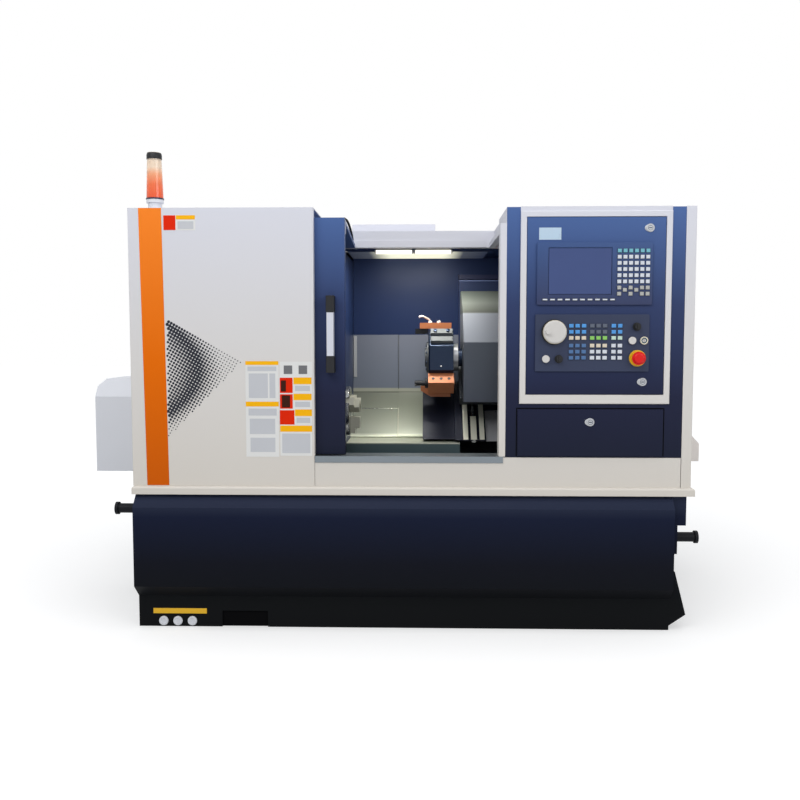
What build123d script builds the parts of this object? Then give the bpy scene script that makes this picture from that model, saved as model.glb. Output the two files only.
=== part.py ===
from build123d import *
import math
import os

# A slant-bed turning lathe in a sheet-metal enclosure, in millimetres.
# +X runs along the spindle axis to the operator's right, +Y into the machine, +Z up.
# The origin is on the floor, in the middle of the machine's outline.

# Enclosure
BODY_HALF = 1050
FRONT_Y = -720
BODY_DEPTH = 1400
BODY_TOP = 1590
SHEET = 4
SEAM = 1
RIM_BOTTOM = 519
RIM_TOP = 549
RIM_PROUD = 14
RIM_RIGHT = 1062
SILL_TOP = 662

# Base
FOOT_HEIGHT = 18
FOOT_RADIUS = 45
BASE_LEFT = -1043
BASE_RIGHT = 984
BASE_STEPS = ((1007, 296), (1038, 405))
BASE_WALL = 5
BASE_FLANGE = 35
BASE_SET_BACK = 10
BASE_BELLY = 35
BASE_BELLY_TOP = 472
BASE_BELLY_BOTTOM = 170
BASE_TOE = 20
BASE_TOE_TOP = 120
FORK_SLOT = (-721, -545)
FORK_SLOT_TOP = 62
FORK_SLOT_DEPTH = 60

# Door opening, door and its hood
OPENING_LEFT = -353
OPENING_RIGHT = 333
LINTEL_DEPTH = 560
LINTEL_BOTTOM = 1499
LINTEL_TOP = 1571
DOOR_LEFT = -932
DOOR_RIGHT = -245
DOOR_DEPTH = 35
DOOR_THICK = 34
DOOR_BOTTOM = 668
DOOR_TOP = 1557
HOOD_REAR_TOP = 1512
HOOD_REAR_DEPTH = 552
WINDOW_MARGIN = 110
HANDLE_MARGIN = 190
TRACK_TOP = 665

# Control cabinet
CABINET_LEFT = 357
CABINET_RIGHT = 1011
CABINET_DEPTH = 330
CABINET_SHELF = 852
TRIM = ((407, 961), (864, 1573))
DOOR_FIELD = ((429, 939), (898, 1552))
FLAP_FIELD = ((400, 942), (666, 845))
FIELD_GAP = 2
LIP_IN = 16
PANEL_THICK = 5

# Spindle, chuck and headstock
SPINDLE_DEPTH = 500
SPINDLE_Z = 795
CHUCK_FACE = -262
CHUCK_LENGTH = 90
CHUCK_RADIUS = 105
CHUCK_BORE = 26
BULKHEAD_X = -290
JAW_COUNT = 3
JAW_GRIP_RADIUS = 32
PULLEY_X = -700
MOTOR_DEPTH = 490
MOTOR_Z = 330

# Slanted bed and slides: heights are measured square to the slide plane through the spindle
SLANT = 45
TURRET_REACH = 320
BED_LEVEL = -380
WAY_HEIGHT = 30
WAY_PLACES = (150, 330)
WAY_WIDTH = 44
GUARD_LEVEL = -319
GUARD_SHEET = 3
GUARD_STEP = 6
GUARD_WALL_DEPTH = 1000
GUARD_TOP = 1125
GUARD_FOOT = 116
SHELF_Z = 643
SHELF_DEPTH = 600
SADDLE_SPAN = (50, 500)
SADDLE_NECK = (150, 480)
SADDLE_TOP = -200
WAYS_TOP = -145
X_WAY_PLACES = (240, 312)
X_WAY_WIDTH = 24
X_SCREW_X = 276
TURRET_LEFT = 75
TURRET_RIGHT = 185
TURRET_FLATS = 260
STATIONS = 8

SPINDLE_Y = FRONT_Y + SPINDLE_DEPTH
REAR_Y = FRONT_Y + BODY_DEPTH
SLIDE_PLANE = Plane(
    origin=(0, SPINDLE_Y, SPINDLE_Z),
    x_dir=(1, 0, 0),
    z_dir=(0, -math.sin(math.radians(SLANT)), math.cos(math.radians(SLANT))),
)


def slab(x_span, y_span, z_span, mode=Mode.ADD):
    """A rectangular block between two limits on each axis of the open part."""
    spans = (x_span, y_span, z_span)
    with Locations(tuple((low + high) / 2 for low, high in spans)):
        Box(*(high - low for low, high in spans), mode=mode)


def flat(x_span, y_span):
    """A rectangle between two limits on each axis of the open sketch."""
    with Locations((sum(x_span) / 2, sum(y_span) / 2)):
        Rectangle(x_span[1] - x_span[0], y_span[1] - y_span[0])


def deep(*depths):
    """Y limits from depths behind the main front face."""
    return tuple(FRONT_Y + depth for depth in depths)


def shrink(field, margin):
    """A rectangular field with the same margin taken off all round."""
    return tuple((low + margin, high - margin) for low, high in field)


def save(builder, name):
    """Label a finished piece and write it under its own name."""
    builder.part.label = name
    export_step(builder.part, f"parts/{name}.step")


os.makedirs("parts", exist_ok=True)

# Base housing: a welded skirt with a bellied front and a set-back toe, open above and below
base_profile = [
    (FRONT_Y + BASE_SET_BACK, RIM_BOTTOM),
    (FRONT_Y - BASE_BELLY, BASE_BELLY_TOP),
    (FRONT_Y - BASE_BELLY, BASE_BELLY_BOTTOM),
    (FRONT_Y + BASE_TOE, BASE_TOE_TOP),
    (FRONT_Y + BASE_TOE, 0),
    (REAR_Y - BASE_SET_BACK, 0),
    (REAR_Y - BASE_SET_BACK, RIM_BOTTOM),
]
with BuildPart() as base_housing:
    with BuildSketch(Plane.YZ.offset(BASE_LEFT)):
        with BuildLine():
            Polyline(*base_profile, close=True)
        make_face()
    extrude(amount=BASE_RIGHT - BASE_LEFT)
    with BuildSketch(Plane.YZ.offset(BASE_LEFT + BASE_WALL)):
        with BuildLine():
            Polyline(*base_profile, close=True)
        make_face()
        offset(amount=-BASE_WALL, mode=Mode.REPLACE)
    extrude(amount=BASE_RIGHT - BASE_LEFT - 2 * BASE_WALL, mode=Mode.SUBTRACT)
    inner_x = (BASE_LEFT + BASE_WALL + BASE_FLANGE, BASE_RIGHT - BASE_WALL - BASE_FLANGE)
    inner_y = deep(BASE_TOE + BASE_WALL + BASE_FLANGE, BODY_DEPTH - BASE_SET_BACK - BASE_WALL - BASE_FLANGE)
    slab(inner_x, inner_y, (0, BASE_WALL), mode=Mode.SUBTRACT)
    slab(inner_x, inner_y, (RIM_BOTTOM - BASE_WALL, RIM_BOTTOM), mode=Mode.SUBTRACT)
    for step_right, step_bottom in BASE_STEPS:
        step_y = deep(BASE_SET_BACK, BODY_DEPTH - BASE_SET_BACK)
        slab((BASE_RIGHT, step_right), step_y, (step_bottom, RIM_BOTTOM))
    slab(FORK_SLOT, deep(0, FORK_SLOT_DEPTH), (0, FORK_SLOT_TOP), mode=Mode.SUBTRACT)
save(base_housing, "base_housing")

# Bed casting: slanted bed with two raised ways and a channel for the long screw
bed_rise = BED_LEVEL / math.sqrt(2)
BED_EDGES = (57, 283)
bed_low = (SPINDLE_Y - bed_rise + BED_EDGES[0], SPINDLE_Z + bed_rise + BED_EDGES[0])
bed_high = (SPINDLE_Y - bed_rise + BED_EDGES[1], SPINDLE_Z + bed_rise + BED_EDGES[1])
BED_SPAN = (-780, 780)
BED_FLOOR = 40
BED_DEPTHS = (640, 1330)
BED_LEDGE = 45
BED_CREST = 90
BED_REAR_TOP = 600
WAY_INSET = 100
CHANNEL_INSET = 30
CHANNEL_WIDTH = 90
CHANNEL_DEPTH = 50
BEARING_SIZE = (40, 56)
BEARING_HEIGHT = 80
Z_SCREW = (sum(WAY_PLACES) / 2, -372)
Z_SCREW_RADIUS = 16
SCREW_BEARINGS = (-325, 720)
RUNNING = 0.05
with BuildPart() as bed_casting:
    with BuildSketch(Plane.YZ.offset(BED_SPAN[0])):
        with BuildLine():
            Polyline(
                (FRONT_Y + BED_DEPTHS[0], BED_FLOOR),
                (FRONT_Y + BED_DEPTHS[0], bed_low[1] - BED_LEDGE),
                (bed_low[0] - BED_LEDGE, bed_low[1] - BED_LEDGE),
                bed_low,
                bed_high,
                (bed_high[0] + BED_CREST, bed_high[1]),
                (FRONT_Y + BED_DEPTHS[1], BED_REAR_TOP),
                (FRONT_Y + BED_DEPTHS[1], BED_FLOOR),
                close=True,
            )
        make_face()
    extrude(amount=BED_SPAN[1] - BED_SPAN[0])
    with BuildSketch(SLIDE_PLANE.offset(BED_LEVEL)):
        for way in WAY_PLACES:
            with Locations((0, way)):
                Rectangle(BED_SPAN[1] - BED_SPAN[0] - 2 * WAY_INSET, WAY_WIDTH)
    extrude(amount=WAY_HEIGHT)
    with BuildSketch(SLIDE_PLANE.offset(BED_LEVEL)):
        with Locations((0, sum(WAY_PLACES) / 2)):
            Rectangle(BED_SPAN[1] - BED_SPAN[0] - 2 * CHANNEL_INSET, CHANNEL_WIDTH)
    extrude(amount=-CHANNEL_DEPTH, mode=Mode.SUBTRACT)
    for bearing in SCREW_BEARINGS:
        with BuildSketch(SLIDE_PLANE.offset(BED_LEVEL - CHANNEL_DEPTH)):
            with Locations((bearing, Z_SCREW[0])):
                Rectangle(*BEARING_SIZE)
        extrude(amount=BEARING_HEIGHT)
    with BuildSketch(Plane.YZ.offset(SCREW_BEARINGS[0] - BEARING_SIZE[0] / 2)):
        with Locations(tuple(SLIDE_PLANE.from_local_coords((0, *Z_SCREW)))[1:]):
            Circle(Z_SCREW_RADIUS + RUNNING)
    extrude(amount=SCREW_BEARINGS[1] - SCREW_BEARINGS[0] + BEARING_SIZE[0], mode=Mode.SUBTRACT)
save(bed_casting, "bed_casting")

# Six levelling feet: a pad on the floor with its threaded post under the bed
FEET_PITCH = (700, 560)
FOOT_POST_RADIUS = 16
with BuildPart() as leveling_feet:
    with Locations((0, FRONT_Y + sum(BED_DEPTHS) / 2, 0)):
        with GridLocations(*FEET_PITCH, 3, 2):
            Cylinder(FOOT_RADIUS, FOOT_HEIGHT, align=(Align.CENTER, Align.CENTER, Align.MIN))
            Cylinder(FOOT_POST_RADIUS, BED_FLOOR, align=(Align.CENTER, Align.CENTER, Align.MIN))
save(leveling_feet, "leveling_feet")

# Coolant tank: its flared end looks out below the right shoulder of the base
TANK_RIGHT = 1047
TANK_HEIGHTS = (17, 60, 225)
TANK_LEDGE = 20
TANK_LENGTH = 700
with BuildPart() as coolant_tank:
    with BuildSketch(Plane.XZ.offset(-FRONT_Y - BASE_TOE)):
        with BuildLine():
            Polyline(
                (BASE_RIGHT, TANK_HEIGHTS[2]),
                (BASE_RIGHT + TANK_LEDGE, TANK_HEIGHTS[2]),
                (TANK_RIGHT, TANK_HEIGHTS[1]),
                (BASE_RIGHT, TANK_HEIGHTS[0]),
                close=True,
            )
        make_face()
    extrude(amount=-TANK_LENGTH)
save(coolant_tank, "coolant_tank")

# Two lifting bars with flanged ends
LEFT_BAR = (-1173, 160, 432)
RIGHT_BAR = (1128, 160, 328)
BAR_RADIUS = 19
BAR_FLANGE = (25, 12)
with BuildPart() as lifting_bars:
    for end_x, depth, height, inner_x in (
        (*LEFT_BAR, BASE_LEFT),
        (*RIGHT_BAR, BASE_STEPS[0][0]),
    ):
        with BuildSketch(Plane.YZ.offset(inner_x)):
            with Locations((FRONT_Y + depth, height)):
                Circle(BAR_RADIUS)
        extrude(amount=end_x - inner_x)
        with BuildSketch(Plane.YZ.offset(end_x)):
            with Locations((FRONT_Y + depth, height)):
                Circle(BAR_FLANGE[0])
        extrude(amount=math.copysign(BAR_FLANGE[1], inner_x - end_x))
save(lifting_bars, "lifting_bars")

# Headstock cover: front, left end and roof folded as one hood, with a return beside the door
COVER_RIGHT = OPENING_LEFT - 5
RETURN_DEPTH = 29
FOLD_RADIUS = 3
with BuildPart() as headstock_cover:
    front_x = (-BODY_HALF, COVER_RIGHT)
    slab(front_x, deep(0, SHEET), (RIM_TOP, BODY_TOP))
    slab((-BODY_HALF, SHEET - BODY_HALF), deep(0, BODY_DEPTH), (RIM_TOP, BODY_TOP))
    slab(front_x, deep(0, BODY_DEPTH), (BODY_TOP - SHEET, BODY_TOP))
    slab((COVER_RIGHT - SHEET, COVER_RIGHT), deep(0, RETURN_DEPTH), (TRACK_TOP, BODY_TOP))
    edges = headstock_cover.edges().filter_by(Axis.Z).group_by(Axis.Y)[0]
    fillet(edges, FOLD_RADIUS)
save(headstock_cover, "headstock_cover")

# Lower front panel: apron under the opening with the rounded rim that runs round the base
RIM_LEFT = -1052
RIM_REAR = 1404
RIM_ROUND = 9
RIM_SEAT = 12
with BuildPart() as lower_front_panel:
    rim_x = (RIM_LEFT, RIM_RIGHT)
    rim_y = deep(-RIM_PROUD, RIM_REAR)
    slab(rim_x, rim_y, (RIM_BOTTOM, RIM_TOP))
    fillet(lower_front_panel.edges().group_by(Axis.Z)[-1], RIM_ROUND)
    slab((-BODY_HALF + RIM_SEAT, BODY_HALF - RIM_SEAT), deep(SHEET + RIM_SEAT, BODY_DEPTH - RIM_SEAT),
         (RIM_BOTTOM, RIM_TOP), mode=Mode.SUBTRACT)
    slab((COVER_RIGHT + SEAM, CABINET_RIGHT - SEAM), deep(0, SHEET), (RIM_TOP, SILL_TOP))
save(lower_front_panel, "lower_front_panel")

# Right end panel with its front return, rear panel and roof with the lintel and hanging rail over the door
with BuildPart() as right_end_panel:
    side = (BODY_HALF - SHEET, BODY_HALF)
    slab(side, deep(0, BODY_DEPTH), (RIM_TOP, BODY_TOP))
    slab((CABINET_RIGHT + SEAM, BODY_HALF), deep(0, SHEET), (RIM_TOP, BODY_TOP))
    edges = right_end_panel.edges().filter_by(Axis.Z).group_by(Axis.Y)[0]
    fillet(edges.sort_by(Axis.X)[-1], FOLD_RADIUS)
save(right_end_panel, "right_end_panel")

with BuildPart() as rear_panel:
    back_x = (SHEET + SEAM - BODY_HALF, BODY_HALF - SHEET - SEAM)
    slab(back_x, deep(BODY_DEPTH - SHEET, BODY_DEPTH), (RIM_TOP + SEAM, LINTEL_TOP - SHEET - SEAM))
save(rear_panel, "rear_panel")

RAIL_SPAN = (-918, 320)
RAIL_THICK = 3
RAIL_HEIGHTS = (1500, 1530)
LINTEL_THICK = 40
with BuildPart() as roof_panel:
    roof_x = (COVER_RIGHT + SEAM, BODY_HALF - SHEET - SEAM)
    slab(roof_x, deep(LINTEL_DEPTH, BODY_DEPTH), (LINTEL_TOP - SHEET, LINTEL_TOP))
    slab(roof_x, deep(LINTEL_DEPTH, LINTEL_DEPTH + LINTEL_THICK), (LINTEL_BOTTOM, LINTEL_TOP))
    slab((CABINET_LEFT, roof_x[1]), deep(CABINET_DEPTH, LINTEL_DEPTH), (LINTEL_TOP - SHEET, LINTEL_TOP))
    slab((CABINET_LEFT, CABINET_LEFT + SHEET), deep(CABINET_DEPTH, LINTEL_DEPTH), (LINTEL_BOTTOM, LINTEL_TOP))
    slab(RAIL_SPAN, deep(LINTEL_DEPTH - RAIL_THICK, LINTEL_DEPTH), RAIL_HEIGHTS)
save(roof_panel, "roof_panel")

# Rear electrical cabinet that stands above the roof
REAR_CABINET = ((-308, 112), (BODY_DEPTH, 1484), (600, 1683))
CABINET_OVERHANG = 1200
CABINET_EDGE = 4
CABINET_LID = 6
with BuildPart() as rear_cabinet:
    slab(REAR_CABINET[0], deep(*REAR_CABINET[1]), REAR_CABINET[2])
    slab(REAR_CABINET[0], deep(CABINET_OVERHANG, REAR_CABINET[1][1]), (LINTEL_TOP, REAR_CABINET[2][1]))
    fillet(rear_cabinet.edges().filter_by(Axis.Z), CABINET_EDGE)
    lid_x, lid_z = shrink((REAR_CABINET[0], REAR_CABINET[2]), LIP_IN)
    slab(lid_x, deep(REAR_CABINET[1][1], REAR_CABINET[1][1] + CABINET_LID), lid_z)
save(rear_cabinet, "rear_cabinet")

# Work area: liner of ceiling, rear and right-hand wall, and the partition beside the headstock
LINER_DEPTHS = (1012, 1015)
LINER_RIGHT = (787, 790)
LINER_LAP = 60
with BuildPart() as inner_rear_wall:
    wall_x = (BULKHEAD_X + SEAM, LINER_RIGHT[1])
    liner_top = LINTEL_BOTTOM - SEAM
    ceiling_y = deep(LINTEL_DEPTH + LINTEL_THICK, LINER_DEPTHS[1])
    slab(wall_x, deep(*LINER_DEPTHS), (GUARD_TOP - LINER_LAP, liner_top))
    slab(wall_x, ceiling_y, (LINTEL_BOTTOM - SHEET, liner_top))
    slab(LINER_RIGHT, deep(CABINET_DEPTH, LINER_DEPTHS[1]), (RIM_TOP, liner_top))
save(inner_rear_wall, "inner_rear_wall")

PARTITION_FRONT = 120
PARTITION_HEIGHTS = (645, 1479)
BED_CLEARANCE = 5
BED_CUT = (40, 900, 400)
CHUCK_CLEARANCE = 12
with BuildPart() as headstock_bulkhead:
    partition_x = (BULKHEAD_X - SHEET, BULKHEAD_X)
    slab(partition_x, deep(PARTITION_FRONT, LINER_DEPTHS[1]), PARTITION_HEIGHTS)
    with BuildSketch(SLIDE_PLANE.offset(BED_LEVEL + WAY_HEIGHT + BED_CLEARANCE)):
        with Locations((BULKHEAD_X, BED_CUT[1] / 4)):
            Rectangle(BED_CUT[0], BED_CUT[1])
    extrude(amount=-BED_CUT[2], mode=Mode.SUBTRACT)
    with BuildSketch(Plane.YZ.offset(BULKHEAD_X)):
        with Locations((SPINDLE_Y, SPINDLE_Z)):
            Circle(CHUCK_RADIUS + CHUCK_CLEARANCE)
    extrude(amount=-SHEET, mode=Mode.SUBTRACT)
save(headstock_bulkhead, "headstock_bulkhead")


def guard_profile(level):
    """Section of a way guard: upright back, slanted plate and turned-down foot."""
    rise = level / math.sqrt(2)
    back_y = FRONT_Y + GUARD_WALL_DEPTH - (level - GUARD_LEVEL)
    bend = (back_y, back_y + SPINDLE_Z - SPINDLE_Y + 2 * rise)
    reach = GUARD_FOOT / math.sqrt(2)
    foot = (SPINDLE_Y - rise + reach, SPINDLE_Z + rise + reach)
    return [(back_y, GUARD_TOP), bend, foot, (foot[0], SHELF_Z + 2)]


# Fixed way guards left and right, with the shelf and lip in front of the slanted plate
FIXED_LEFT = (BULKHEAD_X, -55)
FIXED_RIGHT = (510, 787)
SHELF_SPAN = (BULKHEAD_X, 215)
SHELF_LAP = 20
SHELF_LIP = 90
with BuildPart() as way_cover_fixed:
    for span in (FIXED_LEFT, FIXED_RIGHT):
        with BuildSketch(Plane.YZ.offset(span[0])):
            with BuildLine() as fixed_line:
                Polyline(*guard_profile(GUARD_LEVEL - GUARD_STEP))
                offset(amount=GUARD_SHEET, side=Side.RIGHT)
            make_face()
        extrude(amount=span[1] - span[0])
    shelf_back = guard_profile(GUARD_LEVEL)[2][0] + SHELF_LAP
    slab(SHELF_SPAN, (FRONT_Y + SHELF_DEPTH, shelf_back), (SHELF_Z - GUARD_SHEET, SHELF_Z))
    slab(SHELF_SPAN, deep(SHELF_DEPTH, SHELF_DEPTH + GUARD_SHEET), (SHELF_Z - SHELF_LIP, SHELF_Z))
save(way_cover_fixed, "way_cover_fixed")

# Door track: sill under the door
SILL_RIGHT = 349
SILL_DEPTHS = (-3, 96)
SILL_THICK = 21
with BuildPart() as door_tracks:
    slab((COVER_RIGHT + SEAM, SILL_RIGHT), deep(*SILL_DEPTHS), (SILL_TOP - SILL_THICK, TRACK_TOP))
    slab((COVER_RIGHT, CABINET_LEFT), deep(0, SHEET), (RIM_TOP, SILL_TOP), mode=Mode.SUBTRACT)
save(door_tracks, "door_tracks")

# Work lamp: reflector housing with two tubes under the ceiling
LAMP_SPAN = (-165, 180)
LAMP_DEPTHS = (616, 690)
LAMP_HEIGHTS = (1488, 1495)
TUBE_SPANS = ((-161, 4), (12, 176))
TUBE_PLACE = (FRONT_Y + 612, 1486)
TUBE_RADIUS = 8
with BuildPart() as work_lamp:
    slab(LAMP_SPAN, deep(*LAMP_DEPTHS), LAMP_HEIGHTS)
    for tube_x in TUBE_SPANS:
        with BuildSketch(Plane.YZ.offset(tube_x[0])):
            with Locations(TUBE_PLACE):
                Circle(TUBE_RADIUS)
        extrude(amount=tube_x[1] - tube_x[0])
save(work_lamp, "work_lamp")

# Beacon on the left of the roof
BEACON_X = -972
BEACON_DEPTH = 90
BEACON_TOP = 1808
BEACON_LENS = (1634, 1786)
BEACON_RADIUS = 32
BEACON_NECK = 26
BEACON_SEAT = 14
BEACON_CAP = (27, 28)
with BuildPart() as beacon_base:
    with Locations((BEACON_X, FRONT_Y + BEACON_DEPTH, BODY_TOP)):
        Cylinder(BEACON_NECK, BEACON_LENS[0] - BODY_TOP, align=(Align.CENTER, Align.CENTER, Align.MIN))
    with Locations((BEACON_X, FRONT_Y + BEACON_DEPTH, BEACON_LENS[0] - BEACON_SEAT)):
        Cylinder(BEACON_RADIUS, BEACON_SEAT, align=(Align.CENTER, Align.CENTER, Align.MIN))
save(beacon_base, "beacon_base")

with BuildPart() as beacon_lens:
    with BuildSketch(Plane((BEACON_X, FRONT_Y + BEACON_DEPTH, 0), x_dir=(1, 0, 0), z_dir=(0, -1, 0))):
        with BuildLine():
            Polyline(
                (0, BEACON_LENS[0]),
                (BEACON_RADIUS, BEACON_LENS[0]),
                (BEACON_CAP[0], BEACON_LENS[1]),
                (BEACON_CAP[1], BEACON_LENS[1]),
                (BEACON_NECK, BEACON_TOP),
                (0, BEACON_TOP),
                close=True,
            )
        make_face()
    revolve(axis=Axis((BEACON_X, FRONT_Y + BEACON_DEPTH, 0), (0, 0, 1)))
save(beacon_lens, "beacon_lens")

# Cylinder guard on the left end, with a sloping top, and motor cover on the right end
LEFT_END = -1301
GUARD_BOX = (300, 600)
GUARD_BOX_HEIGHTS = (559, 868, 940)
GUARD_BOX_SLOPE = 55
GUARD_BOX_BEVEL = 30
with BuildPart() as cylinder_guard:
    with BuildSketch(Plane.YZ.offset(LEFT_END)):
        with BuildLine():
            Polyline(
                (FRONT_Y + GUARD_BOX[0], GUARD_BOX_HEIGHTS[0]),
                (FRONT_Y + GUARD_BOX[0], GUARD_BOX_HEIGHTS[1]),
                (FRONT_Y + GUARD_BOX[0] + GUARD_BOX_SLOPE, GUARD_BOX_HEIGHTS[2]),
                (FRONT_Y + GUARD_BOX[1], GUARD_BOX_HEIGHTS[2]),
                (FRONT_Y + GUARD_BOX[1], GUARD_BOX_HEIGHTS[0]),
                close=True,
            )
        make_face()
    extrude(amount=-BODY_HALF - LEFT_END)
    chamfer(cylinder_guard.edges().group_by(Axis.X)[0].group_by(Axis.Z)[-1], GUARD_BOX_BEVEL)
save(cylinder_guard, "cylinder_guard")

MOTOR_BOX = (700, 920)
MOTOR_BOX_HEIGHTS = (551, 632, 697)
MOTOR_BOX_BEVEL = 60
with BuildPart() as z_motor_cover:
    with BuildSketch(Plane.XZ.offset(-FRONT_Y - MOTOR_BOX[0])):
        with BuildLine():
            Polyline(
                (BODY_HALF, MOTOR_BOX_HEIGHTS[0]),
                (BODY_HALF, MOTOR_BOX_HEIGHTS[2]),
                (-LEFT_END - MOTOR_BOX_BEVEL, MOTOR_BOX_HEIGHTS[2]),
                (-LEFT_END, MOTOR_BOX_HEIGHTS[1]),
                (-LEFT_END, MOTOR_BOX_HEIGHTS[0]),
                close=True,
            )
        make_face()
    extrude(amount=MOTOR_BOX[0] - MOTOR_BOX[1])
save(z_motor_cover, "z_motor_cover")

# Headstock casting with its spindle bore, and the drive motor in the base below it
HEAD_SPAN = (-660, -370)
HEAD_HALF = 150
HEAD_FOOT = 130
HEAD_BEVEL = 60
JOURNAL_RADIUS = 60
HEAD_WAY_CUT = (-515, 320)
with BuildPart() as headstock:
    with BuildSketch(Plane.YZ.offset(HEAD_SPAN[0])):
        with BuildLine():
            Polyline(
                (SPINDLE_Y - HEAD_HALF, SPINDLE_Z - HEAD_FOOT),
                (SPINDLE_Y - HEAD_HALF, SPINDLE_Z + HEAD_HALF - HEAD_BEVEL),
                (SPINDLE_Y - HEAD_HALF + HEAD_BEVEL, SPINDLE_Z + HEAD_HALF),
                (SPINDLE_Y + HEAD_HALF, SPINDLE_Z + HEAD_HALF),
                bed_high,
                bed_low,
                close=True,
            )
        make_face()
        with Locations((SPINDLE_Y, SPINDLE_Z)):
            Circle(JOURNAL_RADIUS + RUNNING, mode=Mode.SUBTRACT)
    extrude(amount=HEAD_SPAN[1] - HEAD_SPAN[0])
    with BuildSketch(SLIDE_PLANE.offset(BED_LEVEL - SEAM)):
        for way in WAY_PLACES:
            with Locations((HEAD_WAY_CUT[0], way)):
                Rectangle(HEAD_WAY_CUT[1], WAY_WIDTH + 2 * SEAM)
    extrude(amount=WAY_HEIGHT + 2 * SEAM, mode=Mode.SUBTRACT)
save(headstock, "headstock")

MOTOR_HALF = 120
MOTOR_CORNER = 40
MOTOR_LENGTH = 360
MOTOR_LEFT = -660
MOTOR_FOOT = ((-640, -320), 60)
ROTOR_RADIUS = 22
ROTOR_LENGTH = 200
ROTOR_BORE = 170
MOTOR_AXIS_Y = FRONT_Y + MOTOR_DEPTH
with BuildPart() as spindle_motor:
    with BuildSketch(Plane.YZ.offset(MOTOR_LEFT)):
        with Locations((MOTOR_AXIS_Y, MOTOR_Z)):
            RectangleRounded(2 * MOTOR_HALF, 2 * MOTOR_HALF, MOTOR_CORNER)
    extrude(amount=MOTOR_LENGTH)
    foot_z = (MOTOR_Z - MOTOR_FOOT[1], MOTOR_Z + MOTOR_FOOT[1])
    slab(MOTOR_FOOT[0], (MOTOR_AXIS_Y, FRONT_Y + BED_DEPTHS[0]), foot_z)
    with BuildSketch(Plane.YZ.offset(MOTOR_LEFT)):
        with Locations((MOTOR_AXIS_Y, MOTOR_Z)):
            Circle(ROTOR_RADIUS + RUNNING)
    extrude(amount=ROTOR_BORE, mode=Mode.SUBTRACT)
save(spindle_motor, "spindle_motor")

# Pulleys and belt between motor and spindle
SPINDLE_PULLEY = 105
MOTOR_PULLEY = 65
BELT_THICK = 10
BELT_CLEARANCE = 0.4
PULLEY_WIDTH = 38
with BuildPart() as motor_pulley:
    with BuildSketch(Plane.YZ.offset(PULLEY_X)):
        with Locations((MOTOR_AXIS_Y, MOTOR_Z)):
            Circle(MOTOR_PULLEY)
    extrude(amount=PULLEY_WIDTH)
    with BuildSketch(Plane.YZ.offset(PULLEY_X)):
        with Locations((MOTOR_AXIS_Y, MOTOR_Z)):
            Circle(ROTOR_RADIUS)
    extrude(amount=ROTOR_LENGTH)
save(motor_pulley, "motor_pulley")

with BuildPart() as drive_belt:
    with BuildSketch(Plane.YZ.offset(PULLEY_X)):
        with Locations((SPINDLE_Y, SPINDLE_Z)):
            Circle(SPINDLE_PULLEY + BELT_THICK)
        with Locations((MOTOR_AXIS_Y, MOTOR_Z)):
            Circle(MOTOR_PULLEY + BELT_THICK)
        make_hull()
        with BuildSketch(mode=Mode.PRIVATE) as inside:
            with Locations((SPINDLE_Y, SPINDLE_Z)):
                Circle(SPINDLE_PULLEY + BELT_CLEARANCE)
            with Locations((MOTOR_AXIS_Y, MOTOR_Z)):
                Circle(MOTOR_PULLEY + BELT_CLEARANCE)
            make_hull()
        add(inside.sketch, mode=Mode.SUBTRACT)
    extrude(amount=PULLEY_WIDTH)
save(drive_belt, "drive_belt")

# Sliding door: framed leaf, window, sloping hood above it and a bar handle
WINDOW_X = (DOOR_LEFT + WINDOW_MARGIN, DOOR_RIGHT - HANDLE_MARGIN)
WINDOW_Z = (930, 1440)
PANE_DEPTH = 47
PANE_THICK = 8
DOOR_ROUND = 6
with BuildPart() as door_panel:
    slab((DOOR_LEFT, DOOR_RIGHT), deep(DOOR_DEPTH, DOOR_DEPTH + DOOR_THICK), (DOOR_BOTTOM, DOOR_TOP))
    fillet(door_panel.edges().filter_by(Axis.Z).group_by(Axis.Y)[0], DOOR_ROUND)
    slab(WINDOW_X, deep(DOOR_DEPTH, DOOR_DEPTH + DOOR_THICK), WINDOW_Z, mode=Mode.SUBTRACT)
save(door_panel, "door_panel")

with BuildPart() as door_window:
    slab(WINDOW_X, deep(PANE_DEPTH, PANE_DEPTH + PANE_THICK), WINDOW_Z)
save(door_window, "door_window")

HOOD_FRONT_DEPTH = DOOR_DEPTH + DOOR_THICK
HOOD_THICK = 14
HOOD_DROP = 4
with BuildPart() as door_hood:
    with BuildSketch(Plane.YZ.offset(DOOR_LEFT)):
        with BuildLine():
            Polyline(
                (FRONT_Y + HOOD_FRONT_DEPTH, DOOR_TOP - HOOD_DROP),
                (FRONT_Y + HOOD_REAR_DEPTH, HOOD_REAR_TOP),
                (FRONT_Y + HOOD_REAR_DEPTH, HOOD_REAR_TOP - HOOD_THICK),
                (FRONT_Y + HOOD_FRONT_DEPTH, DOOR_TOP - HOOD_DROP - HOOD_THICK),
                close=True,
            )
        make_face()
    extrude(amount=DOOR_RIGHT - DOOR_LEFT)
save(door_hood, "door_hood")

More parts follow.
